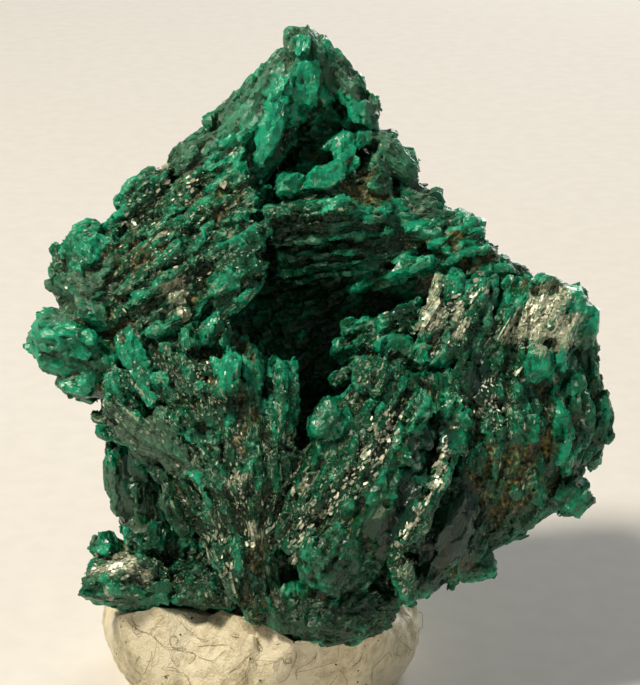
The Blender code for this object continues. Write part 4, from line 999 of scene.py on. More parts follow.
def set_stops(node, stops):
    """Gives a colour ramp these places and hex codes."""
    elements = node.color_ramp.elements
    while len(elements) < len(stops):
        elements.new(0.5)
    for element, (place, code) in zip(elements, stops):
        element.position = place
        element.color = linear(code)


def new_material(name):
    """A new material, its node tree, and the inputs of its shader."""
    material = bpy.data.materials.new(name)
    material.use_nodes = True
    tree = material.node_tree
    return material, tree, tree.nodes["Principled BSDF"].inputs


GREENS = [(0.1, "#002a12"), (0.36, "#003f24"), (0.6, "#00593a"), (0.8, "#068460"), (1.0, "#1aa47c")]
OCHRES = [(0.34, "#13150b"), (0.47, "#33361a"), (0.58, "#746b30"), (0.72, "#b09b50")]
DUST_GREEN = "#4b6753"
# painted reflection: the pale silver of split faces
SILVER_REFLECTION = "#c2c5aa"
# painted glints: pale cells that stand in for small flashes of light
PAINTED_GLINT = "#93a488"
# painted sheen: the dull grey of smooth glassy faces
GLASSY_SHEEN_GREY = "#16302a"
REFRACTIVE_INDEX = 1.71
OWN_PATTERNS = {"specks": (0.9, 4.0), "ribs": (2.0, 3.0), "mottle": (1.4, 4.0)}  # scale and detail
PLACE_PATTERNS = {"patches": (1.6, 4.0), "grains": (0.2, 2.0), "gold": (0.2, 5.0)}  # size and detail
FACET_SIZE = 0.13
# the ribs' weight is painted shade and light: darker in the relief's grooves, lighter on its crests
TONE_WEIGHTS = {"crystal": 0.24, "patches": 0.8, "grains": 0.3, "ribs": 0.4}
STAIN_WEIGHTS = {"rusty": 0.2, "hollow": 0.12}
ROUGH_WEIGHTS = {"dust": 0.4, "stain": 0.4, "glassy": -0.1}
MIX_FACTOR, MIX_A, MIX_B, MIX_RESULT = 0, 6, 7, 2  # a Mix node's colour sockets
print("greens:", [code for _, code in GREENS])

# %% [markdown]
# ### The crystal's own material
# On a real face three things are seen at once: the green below the surface, what lies on the surface,
# and the lamp mirrored in it. The tree is built in that order. The tone picks a green. Ochre and dust
# are mixed over it, and so are three kinds of painted light: a grey painted sheen on glassy faces, the
# silvery mottle of split faces as painted reflection, and small pale painted glints. Roughness and the
# fine relief shape the real reflection. The relief leans each small facet at random, most where the
# cluster glitters and least on glassy faces.

# %% Euchroite crystal
def euchroite():
    """Euchroite, a copper arsenate: natural crystal faces, glossy and deep green inside."""
    material, tree, shader = new_material("euchroite_crystal")
    place = add_node(tree, "ShaderNodeTexCoord").outputs["Object"]
    there = {
        name: add_node(tree, "ShaderNodeAttribute", {"attribute_name": name}).outputs["Fac"]
        for name in ("tone", "crystal", "dusty", "rusty", "glittering", "silvery", "glassy", "hollow")
    }
    own = add_node(tree, "ShaderNodeAttribute", {"attribute_name": "own"}).outputs["Vector"]
    # patterns in each crystal's own coordinates, drawn out along it, and patterns across the whole cluster
    steps = {0: own, 1: (0.5, 4.0, 4.0), 2: there["crystal"]}
    lines = add_node(tree, "ShaderNodeVectorMath", {"operation": "MULTIPLY_ADD"}, steps).outputs[0]
    patterns = [(name, lines, scale, detail) for name, (scale, detail) in OWN_PATTERNS.items()]
    patterns += [(name, place, per(size), detail) for name, (size, detail) in PLACE_PATTERNS.items()]
    for name, vector, scale, detail in patterns:
        steps = {"Vector": vector, "Scale": scale, "Detail": detail}
        there[name] = add_node(tree, "ShaderNodeTexNoise", None, steps).outputs[0]
    # the green, from the crystal's tone, its own random number, two scales of unevenness, and the ribs,
    # which paint shade in their grooves and light on their crests
    tone = there["tone"]
    for name, weight in TONE_WEIGHTS.items():
        steps = {0: there[name], 1: weight, 2: tone}
        tone = add_node(tree, "ShaderNodeMath", {"operation": "MULTIPLY_ADD"}, steps).outputs[0]
    green = add_node(tree, "ShaderNodeValToRGB", None, {0: tone})
    set_stops(green, GREENS)
    # ochre specks, which gather in hollows and in the rusty zones
    stain = there["specks"]
    for name, weight in STAIN_WEIGHTS.items():
        steps = {0: there[name], 1: weight, 2: stain}
        stain = add_node(tree, "ShaderNodeMath", {"operation": "MULTIPLY_ADD"}, steps).outputs[0]
    steps = {0: stain, 1: 0.67, 2: 0.73, 4: 0.85}
    there["stain"] = add_node(tree, "ShaderNodeMapRange", None, steps).outputs[0]
    ochre = add_node(tree, "ShaderNodeValToRGB", None, {0: there["gold"]})
    set_stops(ochre, OCHRES)
    # dark grey-green laid over glassy faces: painted sheen, the dull grey that their smooth faces show
    steps = {0: there["glassy"], 1: 0.75}
    glassy_sheen = add_node(tree, "ShaderNodeMath", {"operation": "MULTIPLY"}, steps).outputs[0]
    # dust on the flanks
    steps = {0: there["grains"], 1: 0.2, 2: 0.6, 4: 0.75}
    steps = {0: there["dusty"], 1: add_node(tree, "ShaderNodeMapRange", None, steps).outputs[0]}
    there["dust"] = add_node(tree, "ShaderNodeMath", {"operation": "MULTIPLY"}, steps).outputs[0]
    # the broken silvery mottle on split faces: its pale colour is painted reflection, with a little
    # metallic gloss
    steps = {0: there["silvery"], 1: 0.3, 2: there["mottle"]}
    silvery_reflection = add_node(tree, "ShaderNodeMath", {"operation": "MULTIPLY_ADD"}, steps).outputs[0]
    silvery_reflection = add_node(tree, "ShaderNodeMapRange", None, {0: silvery_reflection, 1: 0.7, 2: 0.8}).outputs[0]
    # painted glints: pale split cells, long, irregular, and crowded where the cluster glitters
    steps = {0: own, 1: (1.3, 1.6, 1.6), 2: there["crystal"]}
    spread = add_node(tree, "ShaderNodeVectorMath", {"operation": "MULTIPLY_ADD"}, steps).outputs[0]
    steps = {"Vector": spread, "Scale": 1.7, "Randomness": 1.0}
    cells = add_node(tree, "ShaderNodeTexVoronoi", {"feature": "F1"}, steps).outputs["Color"]
    draw = add_node(tree, "ShaderNodeSeparateXYZ", None, {0: cells}).outputs[0]
    steps = {0: there["glittering"], 1: 0.1, 2: draw}
    draw = add_node(tree, "ShaderNodeMath", {"operation": "MULTIPLY_ADD"}, steps).outputs[0]
    painted_glint = add_node(tree, "ShaderNodeMapRange", None, {0: draw, 1: 0.985, 2: 0.995, 4: 0.8}).outputs[0]
    # all of them are laid over the green in turn
    colour = green.outputs[0]
    for share, over in (
        (there["stain"], ochre.outputs[0]),
        (glassy_sheen, linear(GLASSY_SHEEN_GREY)),
        (there["dust"], linear(DUST_GREEN)),
        (silvery_reflection, linear(SILVER_REFLECTION)),
        (painted_glint, linear(PAINTED_GLINT)),
    ):
        colours = {MIX_FACTOR: share, MIX_A: colour, MIX_B: over}
        colour = add_node(tree, "ShaderNodeMix", {"data_type": "RGBA"}, colours).outputs[MIX_RESULT]
    # gloss, which dust, stain and glassy faces change
    steps = {0: there["grains"], 1: 0.25, 2: 0.7, 3: 0.08, 4: 0.34}
    rough = add_node(tree, "ShaderNodeMapRange", None, steps).outputs[0]
    for name, weight in ROUGH_WEIGHTS.items():
        steps = {0: there[name], 1: weight, 2: rough}
        rough = add_node(tree, "ShaderNodeMath", {"operation": "MULTIPLY_ADD"}, steps).outputs[0]
    metal = add_node(tree, "ShaderNodeMath", {"operation": "MULTIPLY"}, {0: silvery_reflection, 1: 0.4}).outputs[0]
    # lines along each crystal, and facets too small for the mesh
    relief = {"Strength": 0.7, "Distance": 0.06 * MM, "Height": there["ribs"]}
    lined = add_node(tree, "ShaderNodeBump", None, relief)
    steps = {"Vector": place, "Scale": per(FACET_SIZE)}
    facets = add_node(tree, "ShaderNodeTexVoronoi", {"feature": "F1"}, steps)
    steps = {0: facets.outputs["Color"], 1: (0.5, 0.5, 0.5)}
    lean = add_node(tree, "ShaderNodeVectorMath", {"operation": "SUBTRACT"}, steps)
    steps = {0: there["glittering"], 3: 0.2, 4: 0.9}
    steps = {0: there["glassy"], 1: -0.2, 2: add_node(tree, "ShaderNodeMapRange", None, steps).outputs[0]}
    settings = {"operation": "MULTIPLY_ADD", "use_clamp": True}
    amount = add_node(tree, "ShaderNodeMath", settings, steps).outputs[0]
    steps = {0: lean.outputs[0], "Scale": amount}
    leaned = add_node(tree, "ShaderNodeVectorMath", {"operation": "SCALE"}, steps)
    steps = {0: lined.outputs[0], 1: leaned.outputs[0]}
    tipped = add_node(tree, "ShaderNodeVectorMath", {"operation": "ADD"}, steps)
    normal = add_node(tree, "ShaderNodeVectorMath", {"operation": "NORMALIZE"}, {0: tipped.outputs[0]})
    normal = normal.outputs[0]
    set_inputs(tree, shader, {"Base Color": colour, "Roughness": rough, "Metallic": metal, "Normal": normal})
    # crevices finer than the mesh swallow much of the reflection
    set_inputs(tree, shader, {"IOR": REFRACTIVE_INDEX, "Specular IOR Level": 0.3})
    # green light spreads furthest inside the crystal
    set_inputs(tree, shader, {"Subsurface Weight": 0.25, "Subsurface Radius": (0.1, 1.0, 0.45)})
    set_inputs(tree, shader, {"Subsurface Scale": 0.3 * MM})
    return material


crystal_material = euchroite()
body.data.materials.append(crystal_material)
print("crystal nodes:", len(crystal_material.node_tree.nodes))

# %% [markdown]
# ## Scattering the plates
# The tree runs once for each stretch of the cluster, so that every piece stays light. The body lends its
# points, with two directions: the plates' length keeps near the growth, and their broad sides keep near
# the surface they stand on, so that none of them sticks out like a thorn.

# %% Plates
PLATES_PER_MM2 = 9.0
LONGEST_PLATE = 0.26  # half of its length
STRETCH_ENDS = (-3.6, 4.2)  # where the left, middle and right stretches part
BACK_SHARE_OF_PLATES = 0.45
SIDEWAYS = -0.15  # a place that faces further away from the eye than this belongs to the back
LAID_DOWN = 0.75  # how much of their upright direction the plates lose
GROWTH_SHARE, SURFACE_SHARE = 0.5, 1.3  # what the plates' broad sides follow
COARSE = {"glittering": -0.35, "dusty": 0.15}
THICKLY = {"glittering": 0.5, "bright": -0.6, "silvery": -0.45, "glassy": -1.3}
LEAST_THICK = 0.03


def prepare_emitter(mesh):
    """Keeps the plates' directions and sizes on the mesh, and says how thickly they stand."""
    points, normals, kept = painted(mesh)
    upright = (kept["along"] * normals).sum(1)[:, None]
    side = np.sign((kept["broad"] * normals).sum(1))[:, None]
    put(mesh, "plate_along", unit(kept["along"] - LAID_DOWN * normals * upright))
    put(mesh, "plate_broad", kept["broad"] * side * GROWTH_SHARE + normals * SURFACE_SHARE)
    put(mesh, "coarse", weighed(1, COARSE, kept))
    return on_face(points)[:, 0], normals @ OUT, np.clip(weighed(0.75, THICKLY, kept), LEAST_THICK, None)


def scattered(name, mesh, inputs):
    """The plates that the tree grows on a mesh. A modifier knows its inputs by their identifiers."""
    made = new_object(name, mesh)
    scatter = made.modifiers.new("plates", "NODES")
    scatter.node_group = plates
    for item in plates.interface.items_tree:
        if item.in_out == "INPUT" and item.name in inputs:
            scatter[item.identifier] = inputs[item.name]
    applied(made)
    print(name, "triangles:", triangles_in(made.data))
    return made


across, toward_eye, thick = prepare_emitter(body.data)
in_front = toward_eye > SIDEWAYS
first_end, second_end = STRETCH_ENDS
stretches = {
    "druse_left": in_front & (across < first_end),
    "druse_middle": in_front & (across >= first_end) & (across < second_end),
    "druse_right": in_front & (across >= second_end),
    "druse_back": ~in_front,
}
druse_inputs = {
    "Plates per m2": PLATES_PER_MM2 / MM**2,
    "Longest": LONGEST_PLATE * MM,
    "Width share": 0.34,
    "Thickness share": 0.36,
    "Spread": 0.26,
    "Material": crystal_material,
}
crystal_pieces = [body]
for number, (name, within) in enumerate(stretches.items()):
    share = BACK_SHARE_OF_PLATES if name == "druse_back" else 1.0
    put(body.data, "thickly", thick * within * share)
    crystal_pieces.append(scattered(name, body.data.copy(), {**druse_inputs, "Seed": number}))

# %% [markdown]
# ## Glints and flakes
# Where a crystal has split along its cleavage, the face is as flat as a mirror, and the ones that happen
# to face half way between the lamp and the eye flash white. Most are tiny, so the plate tree scatters
# them as well, with its own material and with plates turned to that half-way direction. That material
# is a pale silver-grey, so part of their shine is painted reflection. The larger flakes are few enough
# to be placed one by one: each is a thin five-sided plate that lies on the crystals, part of the way
# turned to the light.

# %% Glints
KEY_WAY = facing(-0.62, 0.85, 0.6)  # the same as the key lamp's, below
HALF_WAY = unit(KEY_WAY + OUT)
GLINTS_PER_MM2 = 1.4
GLINT_SPREAD = 0.3
GLINTS_BY_ZONE = {"glittering": 0.9, "silvery": 0.1, "shaded": -0.5, "glassy": -1.0}


def cleavage():
    """A fresh cleavage face: a thin silvery mirror on green crystal, its pale colour painted reflection."""
    material, tree, shader = new_material("silvery_cleavage")
    place = add_node(tree, "ShaderNodeTexCoord").outputs["Object"]
    worn = add_node(tree, "ShaderNodeTexNoise", None, {"Vector": place, "Scale": per(0.2), "Detail": 3.0})
    colour = add_node(tree, "ShaderNodeValToRGB", None, {0: worn.outputs[0]})
    # painted reflection: the pale silver-grey of this ramp stands in for the flakes' mirror shine
    set_stops(colour, [(0.38, "#4a6650"), (0.5, "#929a82"), (0.62, "#c2c1a8")])
    steps = {0: worn.outputs[0], 1: 0.3, 2: 0.7, 3: 0.55, 4: 0.35}
    rough = add_node(tree, "ShaderNodeMapRange", None, steps)
    set_inputs(tree, shader, {"Base Color": colour.outputs[0], "Roughness": rough.outputs[0]})
    set_inputs(tree, shader, {"Metallic": 0.3, "IOR": REFRACTIVE_INDEX})
    return material




def glint_emitter():
    """A copy of the body whose plates face half way between the lamp and the eye."""
    mesh = body.data.copy()
    points, normals, kept = painted(mesh)
    put(mesh, "plate_broad", HALF_WAY + rng.normal(0, GLINT_SPREAD, points.shape))
    put(mesh, "coarse", np.ones(len(points)))
    seen_well = np.clip(normals @ OUT * 2, 0, 1)
    put(mesh, "thickly", np.clip(weighed(0.22, GLINTS_BY_ZONE, kept), 0, None) * seen_well)
    return mesh


cleavage_material = cleavage()
glint_inputs = {
    "Plates per m2": GLINTS_PER_MM2 / MM**2,
    "Longest": 0.22 * MM,
    "Width share": 0.32,
    "Thickness share": 0.5,
    "Spread": 0.1,
    "Seed": 77,
    "Material": cleavage_material,
}
crystal_pieces.append(scattered("cleavage_glints", glint_emitter(), glint_inputs))

# %% [markdown]
# ### Flakes placed one by one
# The eye goes to the few large silvery flakes first, so each one has its own place, size and turn. A
# line of sight finds the spot on the body. The plate is a five-sided outline drawn twice, a hair's
# breadth apart, with its corners moved a little so that no two are alike. Smaller ones lie in bands,
# where a whole row of crystals has split: a loop strews them along each band.

# %% Flakes
# each row: across, up, length, width, turn from the horizontal
FLAKES = [
    (-7.9, 5.4, 0.55, 0.5, 25), (-7.65, 8.75, 0.45, 0.4, 30), (-7.8, 8.0, 0.6, 0.3, 15),
    (-8.1, 7.6, 0.3, 0.2, 60), (-6.35, 8.1, 0.3, 0.25, 40), (-4.8, 7.9, 0.35, 0.3, 60),
    (-9.6, 6.5, 0.5, 0.15, 60), (-9.3, 6.0, 0.55, 0.15, 130), (-8.9, 6.3, 0.25, 0.2, 10),
    (-8.1, 5.9, 0.35, 0.12, 20), (-9.9, 5.9, 0.35, 0.12, 45), (-7.2, 2.7, 0.5, 0.35, 70),
    (-6.9, 2.1, 0.45, 0.4, 30), (-7.0, 1.5, 0.3, 0.3, 0), (-3.6, 2.4, 0.45, 0.08, 40),
    (-4.3, 1.9, 0.4, 0.08, 38), (5.55, 1.5, 1.7, 0.3, 66), (5.95, 1.2, 1.0, 0.25, 70),
    (5.3, 2.7, 0.8, 0.3, 60), (6.85, 1.4, 1.6, 0.35, 64), (7.2, 0.9, 0.9, 0.2, 64),
    (7.75, 2.3, 1.0, 0.12, 60), (9.6, 1.1, 2.1, 0.12, 62), (9.2, 0.7, 1.2, 0.08, 60),
    (9.9, -1.5, 0.6, 0.2, 60), (10.1, -1.9, 0.35, 0.2, 40), (11.8, -1.9, 0.5, 0.3, 62),
    (3.4, -4.2, 0.4, 0.2, 60), (2.4, -5.6, 0.35, 0.25, 50), (3.1, -5.8, 0.4, 0.2, 60),
    (2.8, -6.6, 0.3, 0.2, 40), (1.6, -7.0, 0.3, 0.15, 55), (0.1, -8.5, 0.45, 0.3, 40),
    (-0.3, -8.0, 0.35, 0.2, 50), (-0.9, -9.2, 0.35, 0.2, 60), (-1.3, -7.4, 0.6, 0.22, 70),
    (-2.5, -9.3, 0.6, 0.2, 50), (-1.4, -10.0, 0.6, 0.3, 55), (-1.2, -10.9, 0.5, 0.28, 60),
    (6.1, -5.7, 0.55, 0.22, 82), (5.95, -6.4, 0.5, 0.3, 76), (5.85, -7.1, 0.5, 0.22, 62),
    (5.4, -7.8, 0.4, 0.2, 50), (4.9, -8.4, 0.4, 0.22, 60), (4.5, -9.2, 0.35, 0.2, 65),
    (3.9, -10.1, 0.3, 0.2, 50), (-4.2, -6.5, 0.9, 0.12, 105), (-4.0, -6.8, 0.7, 0.1, 105),
    (-3.4, -9.4, 0.7, 0.18, 110), (-4.4, -12.0, 1.2, 0.14, 100), (-5.6, -10.5, 0.8, 0.08, 100),
    (-10.4, -12.7, 0.3, 0.3, 20), (-10.2, -11.2, 0.7, 0.35, 12), (-9.5, -11.4, 0.5, 0.25, 160),
]
# each row: start, end, breadth of the band, how many flakes, and how long they are
FLAKE_BANDS = [
    ((3.9, -3.4), (2.3, -6.2), 1.0, 70, 0.24),
    ((2.6, -5.6), (-0.2, -9.0), 0.9, 60, 0.24),
    ((-0.2, -8.4), (-1.6, -11.2), 0.6, 26, 0.3),
    ((6.2, -5.2), (5.8, -7.2), 0.5, 40, 0.26),
    ((5.8, -7.0), (4.2, -9.8), 0.5, 50, 0.24),
    ((4.0, -9.8), (4.5, -12.8), 0.5, 34, 0.2),
    ((-4.3, -6.0), (-3.4, -10.4), 0.5, 34, 0.24),
    ((-5.6, -8.6), (-4.2, -12.4), 0.5, 30, 0.26),
    ((-10.0, 6.8), (-6.4, 8.2), 1.2, 30, 0.2),
    ((-9.6, 4.2), (-5.4, 6.4), 1.8, 40, 0.16),
    ((8.3, -1.9), (9.0, -4.2), 0.9, 40, 0.18),
    ((5.2, 1.0), (8.4, 2.6), 1.4, 30, 0.3),
    ((9.8, 0.2), (12.4, 1.8), 1.8, 50, 0.2),
    ((-11.3, -10.9), (-8.6, -11.5), 0.9, 50, 0.2),
    ((-3.4, 2.0), (-5.4, 0.4), 0.7, 16, 0.14),
    ((-2.6, 8.6), (-1.4, 10.8), 0.6, 16, 0.14),
    ((1.0, 8.0), (2.6, 8.6), 0.7, 16, 0.14),
    ((-6.2, -0.6), (-4.6, -4.4), 1.6, 40, 0.14),
]
FLAKE_THICKNESS = 0.04
FLAKE_LIFT = 0.03  # how far its middle stands out of the body
FLAKE_CORNERS = ((-0.5, -0.4), (0.35, -0.5), (0.55, 0.1), (0.2, 0.5), (-0.45, 0.42))
SURFACE_PULL = 0.7  # how much it follows the body, where the light counts 1
FLAKE_WOBBLE = 0.12
BAND_LENGTHS, BAND_WIDTHS = (0.4, 1.2), (0.3, 0.7)  # shares of the band's longest, and of the length
BAND_TURN = 20  # degrees
body_tree = tree_of(body.data)


def add_flake(work, hit, length, width, turn, rng):
    """A thin five-sided plate on the surface, part of the way turned to the light."""
    place, normal = hit
    lean = unit(normal * SURFACE_PULL + HALF_WAY + rng.normal(0, FLAKE_WOBBLE, 3))
    along = ACROSS * math.cos(math.radians(turn)) + UP * math.sin(math.radians(turn))
    along = unit(along - lean * (along @ lean))
    over = np.cross(lean, along)
    corners = [(x + rng.uniform(-0.1, 0.1), y + rng.uniform(-0.15, 0.15)) for x, y in FLAKE_CORNERS]
    rings = []
    for level in (-0.5, 0.5):
        spots = [along * x * length + over * y * width + lean * level * FLAKE_THICKNESS for x, y in corners]
        rings.append([work.verts.new(place + (spot + lean * FLAKE_LIFT) * MM) for spot in spots])
    below, above = rings
    work.faces.new(above)
    work.faces.new(below[::-1])
    joined(work, rings)


def scattered_flakes(rng):
    """Small flakes strewn along bands, as rows like those listed one by one."""
    rows = []
    for start, end, breadth, count, longest in FLAKE_BANDS:
        run = np.subtract(end, start)
        way = math.degrees(math.atan2(run[1], run[0]))
        side = np.array((-run[1], run[0])) / np.hypot(*run)
        for _ in range(count):
            across, up = start + run * rng.uniform(0, 1) + side * rng.normal(0, breadth / 3)
            length = longest * rng.uniform(*BAND_LENGTHS)
            width = length * rng.uniform(*BAND_WIDTHS)
            rows.append((across, up, length, width, way + rng.normal(0, BAND_TURN)))
    return rows


def make_flakes():
    work = bmesh.new()
    rng = np.random.default_rng(12)
    for across, up, length, width, turn in FLAKES + scattered_flakes(rng):
        hit = hit_from_eye(body_tree, across, up)
        if hit:
            add_flake(work, hit, length, width, turn, rng)
    mesh = new_mesh("flakes", work, cleavage_material)
    print("flake faces:", len(mesh.polygons))
    return new_object("cleavage_flakes", mesh)


crystal_pieces.append(make_flakes())

# %% [markdown]
# ## Putty
# Mounting putty is a waxy clay that was pressed on by hand, so it is lumpy, it is creased where it
# folded, and its surface is torn where it was pulled off the block. A fine skin over the putty solid is
# pushed in and out by noise of several sizes; a thin line where a noise crosses zero makes a crease. Its
# upper edge was pressed up against the crystals, so it is dragged to the line where they end below. The
# base stays flat, and so the object still stands.

# %% Putty
PUTTY_SPACING = 0.18
LUMPS, LUMP_SIZE = 0.28, 3.2  # how far the broad lumps go in and out, and how large they are
CREASE_DEPTH, CREASE_SHARPNESS, FOLD_SIZE = 0.16, 12, 3.0
TEAR_DEPTH, TEAR_SIZE, MEAN_TEAR = 0.12, 0.8, 0.45
GRAIN_DEPTH, GRAIN_SIZE = 0.04, 0.3
FLAT_BASE = 0.5  # below this height the sides keep their shape
RIM_FROM, RIM_TO = 4.0, 6.0  # between these heights the putty swells up against the crystals
RIM_SWELL, RIM_LUMPS = 0.75, 1.3
LIP_REACH = 2.6  # how broad a band of putty was dragged along with the lip
LIP_MOST = 3.2  # how far it was dragged at the most
LIP_TEAR = 0.14
LIP_LIFT = OUT * 0.2 + UP * 0.1  # the lip stands a little off the crystals' outline
LOOKED_ACROSS, LOOKED_UP = (-10.8, 4.6, 0.25), (-12.0, -17.0, -0.1)  # from, to and step


def putty_relief(place):
    """How far the putty's surface stands out at a place in millimetres."""
    lumps = noise.noise(place / LUMP_SIZE) * LUMPS
    folds = abs(noise.noise(place / FOLD_SIZE + Vector((7, 3, 1))))
    crease = max(0.0, 1 - folds * CREASE_SHARPNESS) * CREASE_DEPTH * (0.5 + noise.noise(place / 4))
    torn = noise.turbulence(place / TEAR_SIZE, 3, False) - MEAN_TEAR
    rim = min(max((place.z - RIM_FROM) / (RIM_TO - RIM_FROM), 0.0), 1.0)
    swell = rim * RIM_SWELL * (0.7 + noise.noise(place / RIM_LUMPS))
    grain = noise.noise(place / GRAIN_SIZE) * GRAIN_DEPTH
    return lumps - crease + torn * TEAR_DEPTH * (1 + 1.5 * rim) + grain + swell


def lower_outline():
    """The places where the crystals end below, as the eye sees them."""
    line = []
    for across in np.arange(*LOOKED_ACROSS):
        hits = [hit_from_eye(body_tree, across, up) for up in np.arange(*LOOKED_UP)]
        line += [hit[0] for hit in hits if hit][-1:]
    return np.array(line)


def press_lip(points):
    """Drags the putty's upper edge out to the crystals' lower outline, where it was pressed on and tore."""
    line = lower_outline()
    line += LIP_LIFT * MM + UP * rng.normal(0, LIP_TEAR * MM, (len(line), 1))
    gaps = np.linalg.norm(points[:, None] - line[None], axis=2)
    nearest = gaps.argmin(axis=1)
    extra = gaps.min(axis=1) - gaps.min(axis=0)[nearest]
    share = np.clip(1 - extra / (LIP_REACH * MM), 0, 1)
    move = line[nearest] - points
    move *= np.minimum(1, LIP_MOST * MM / np.linalg.norm(move, axis=1))[:, None]
    return points + move * (share * share * (3 - 2 * share))[:, None]


def make_putty():
    made = skinned("putty_lump", merged(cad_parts["mounting_putty"].data), PUTTY_SPACING)
    points, normals = rows_of(made.data, "co"), rows_of(made.data, "normal")
    out = np.array([putty_relief(Vector(place)) for place in points / MM])
    out *= np.clip(points[:, 2] / (FLAT_BASE * MM), 0, 1)
    set_points(made.data, press_lip(points + normals * out[:, None] * MM))
    made.data.shade_smooth()
    print("putty faces:", len(made.data.polygons), "relief mm:", out.min(), out.max())
    return made


def putty_finish():
    """Mounting putty: a waxy cream clay, dull, with soiled and greyer patches."""
    material, tree, shader = new_material("waxy_mounting_putty")
    place = add_node(tree, "ShaderNodeTexCoord").outputs["Object"]
    patterns = ({"Vector": place, "Scale": per(size), "Detail": 4.0} for size in (2.8, 0.5, 0.12))
    cloudy, soiled, grain = (
        add_node(tree, "ShaderNodeTexNoise", None, pattern).outputs[0] for pattern in patterns
    )
    for amount, weight in ((soiled, 0.6), (grain, 0.35)):
        steps = {0: amount, 1: weight, 2: cloudy}
        cloudy = add_node(tree, "ShaderNodeMath", {"operation": "MULTIPLY_ADD"}, steps).outputs[0]
    colour = add_node(tree, "ShaderNodeValToRGB", None, {0: cloudy})
    set_stops(colour, [(0.7, "#a2987a"), (0.84, "#c6bb9a"), (0.96, "#dbd1b0"), (1.0, "#e3dabd")])
    rough = add_node(tree, "ShaderNodeMapRange", None, {0: soiled, 1: 0.3, 2: 0.7, 3: 0.28, 4: 0.55})
    raised = add_node(tree, "ShaderNodeMath", {"operation": "ADD"}, {0: soiled, 1: grain})
    relief = {"Strength": 0.6, "Distance": 0.14 * MM, "Height": raised.outputs[0]}
    pressed = add_node(tree, "ShaderNodeBump", None, relief)
    seen_by_eye = {"Base Color": colour, "Roughness": rough, "Normal": pressed}
    set_inputs(tree, shader, {name: node.outputs[0] for name, node in seen_by_eye.items()})
    set_inputs(tree, shader, {"IOR": 1.5})
    return material


putty = make_putty()
putty.data.materials.append(putty_finish())
putty_tree = tree_of(putty.data)

# %% [markdown]
# ## Lint
# Putty holds on to dust: curly brown fibres of cloth, pale hairs, black specks and green crumbs. A fibre
# is a Curve with a round bevel, laid through many places on the putty and then made into a mesh. The
# ones on the display side are listed one by one, and a seeded draw lays more of them all round.

# %% Lint
STEP = 0.12  # between the places of a fibre
# each row: across, up, heading in degrees, length, and how curly
BROWN_FIBRES = [
    (-9.6, -13.9, -60, 1.6, 0.5),
    (-9.2, -14.4, 20, 3.0, 1.0),
    (-9.0, -14.2, 200, 2.2, 0.9),
    (-8.3, -14.6, -20, 2.6, 0.5),
    (-7.2, -15.1, 30, 3.6, 0.9),
    (-6.7, -15.3, 160, 2.8, 1.1),
    (-6.1, -15.2, 10, 3.4, 0.4),
    (-5.6, -14.9, 200, 1.8, 0.8),
    (-4.4, -14.7, -10, 2.0, 0.3),
    (-2.2, -15.1, 10, 3.4, 0.75),
    (-1.2, -15.6, -70, 2.0, 0.3),
    (-7.9, -16.3, 15, 2.6, 0.7),
    (-4.6, -16.6, 40, 2.2, 0.8),
    (0.4, -15.0, -30, 2.4, 0.6),
    (1.6, -16.2, 20, 2.0, 0.9),
]
PALE_FIBRES = [
    (3.4, -16.0, 25, 3.2, 0.3),
    (-10.0, -16.0, -30, 2.6, 0.4),
    (2.2, -14.9, 10, 2.0, 0.6),
]
STRAY_FIBRES = 26
STRAY_HEIGHTS, STRAY_RING = (1.5, 5.0), 9  # millimetres up, and out from the middle
STRAY_LENGTHS, STRAY_CURLS = (1.5, 3.5), (0.3, 1.1)
CURL = 0.45  # radians a fibre turns at each step where its bend is 1
BEND_KEPT, BEND_CHANGE = 0.93, 0.3


def curly(start, right, upward, heading, length, curl, rng):
    """A path from start in the plane of two directions, whose bend wanders from side to side."""
    path, bend = [np.array(start)], rng.uniform(-1, 1)
    for _ in range(int(length / STEP)):
        bend = BEND_KEPT * bend + rng.normal(0, BEND_CHANGE)
        heading += bend * curl * CURL
        path.append(path[-1] + (right * math.cos(heading) + upward * math.sin(heading)) * STEP * MM)
    return path


def display_fibres(table, rng):
    paths = []
    for across, up, heading, length, curl in table:
        hit = hit_from_eye(putty_tree, across, up)
        if hit:
            paths.append(curly(hit[0], ACROSS, UP, math.radians(heading), length, curl, rng))
    return paths


def stray_fibres(rng):
    """Curly paths at random places round the putty."""
    paths = []
    for _ in range(STRAY_FIBRES):
        turn, height = rng.uniform(0, math.tau), rng.uniform(*STRAY_HEIGHTS)
        ring = np.array((math.cos(turn), math.sin(turn), 0.0))
        side = np.array((-ring[1], ring[0], 0.0))
        start = np.array((DISPLAY_CENTRE[0], DISPLAY_CENTRE[1], height)) * MM + ring * STRAY_RING * MM
        upright = np.array((0.0, 0.0, 1.0))
        length, curl = rng.uniform(*STRAY_LENGTHS), rng.uniform(*STRAY_CURLS)
        paths.append(curly(start, side, upright, rng.uniform(0, math.tau), length, curl, rng))
    return paths


fibre_rng = np.random.default_rng(21)
brown = display_fibres(BROWN_FIBRES, fibre_rng) + stray_fibres(fibre_rng)
pale = display_fibres(PALE_FIBRES, fibre_rng)
print("brown fibres:", len(brown), "pale hairs:", len(pale))

# %% [markdown]
# ### From paths to fibres
# A path is only a row of places in the plane it was drawn in. Each place moves to the nearest spot on the
# putty, the row is evened out, and its middle is raised in a low arch, because a stiff fibre springs off
# what it lies on. A bevelled Curve through the places is the fibre.

# %% Fibres
FIBRE_RADIUS = 0.011
HAIR_SHARE = 0.7  # how thick a hair is beside a fibre
ABOVE_PUTTY = 0.03
ARCHES = (0.02, 0.1, 0.0, 0.2)  # how far the middle of a fibre stands off
EVENINGS = 3


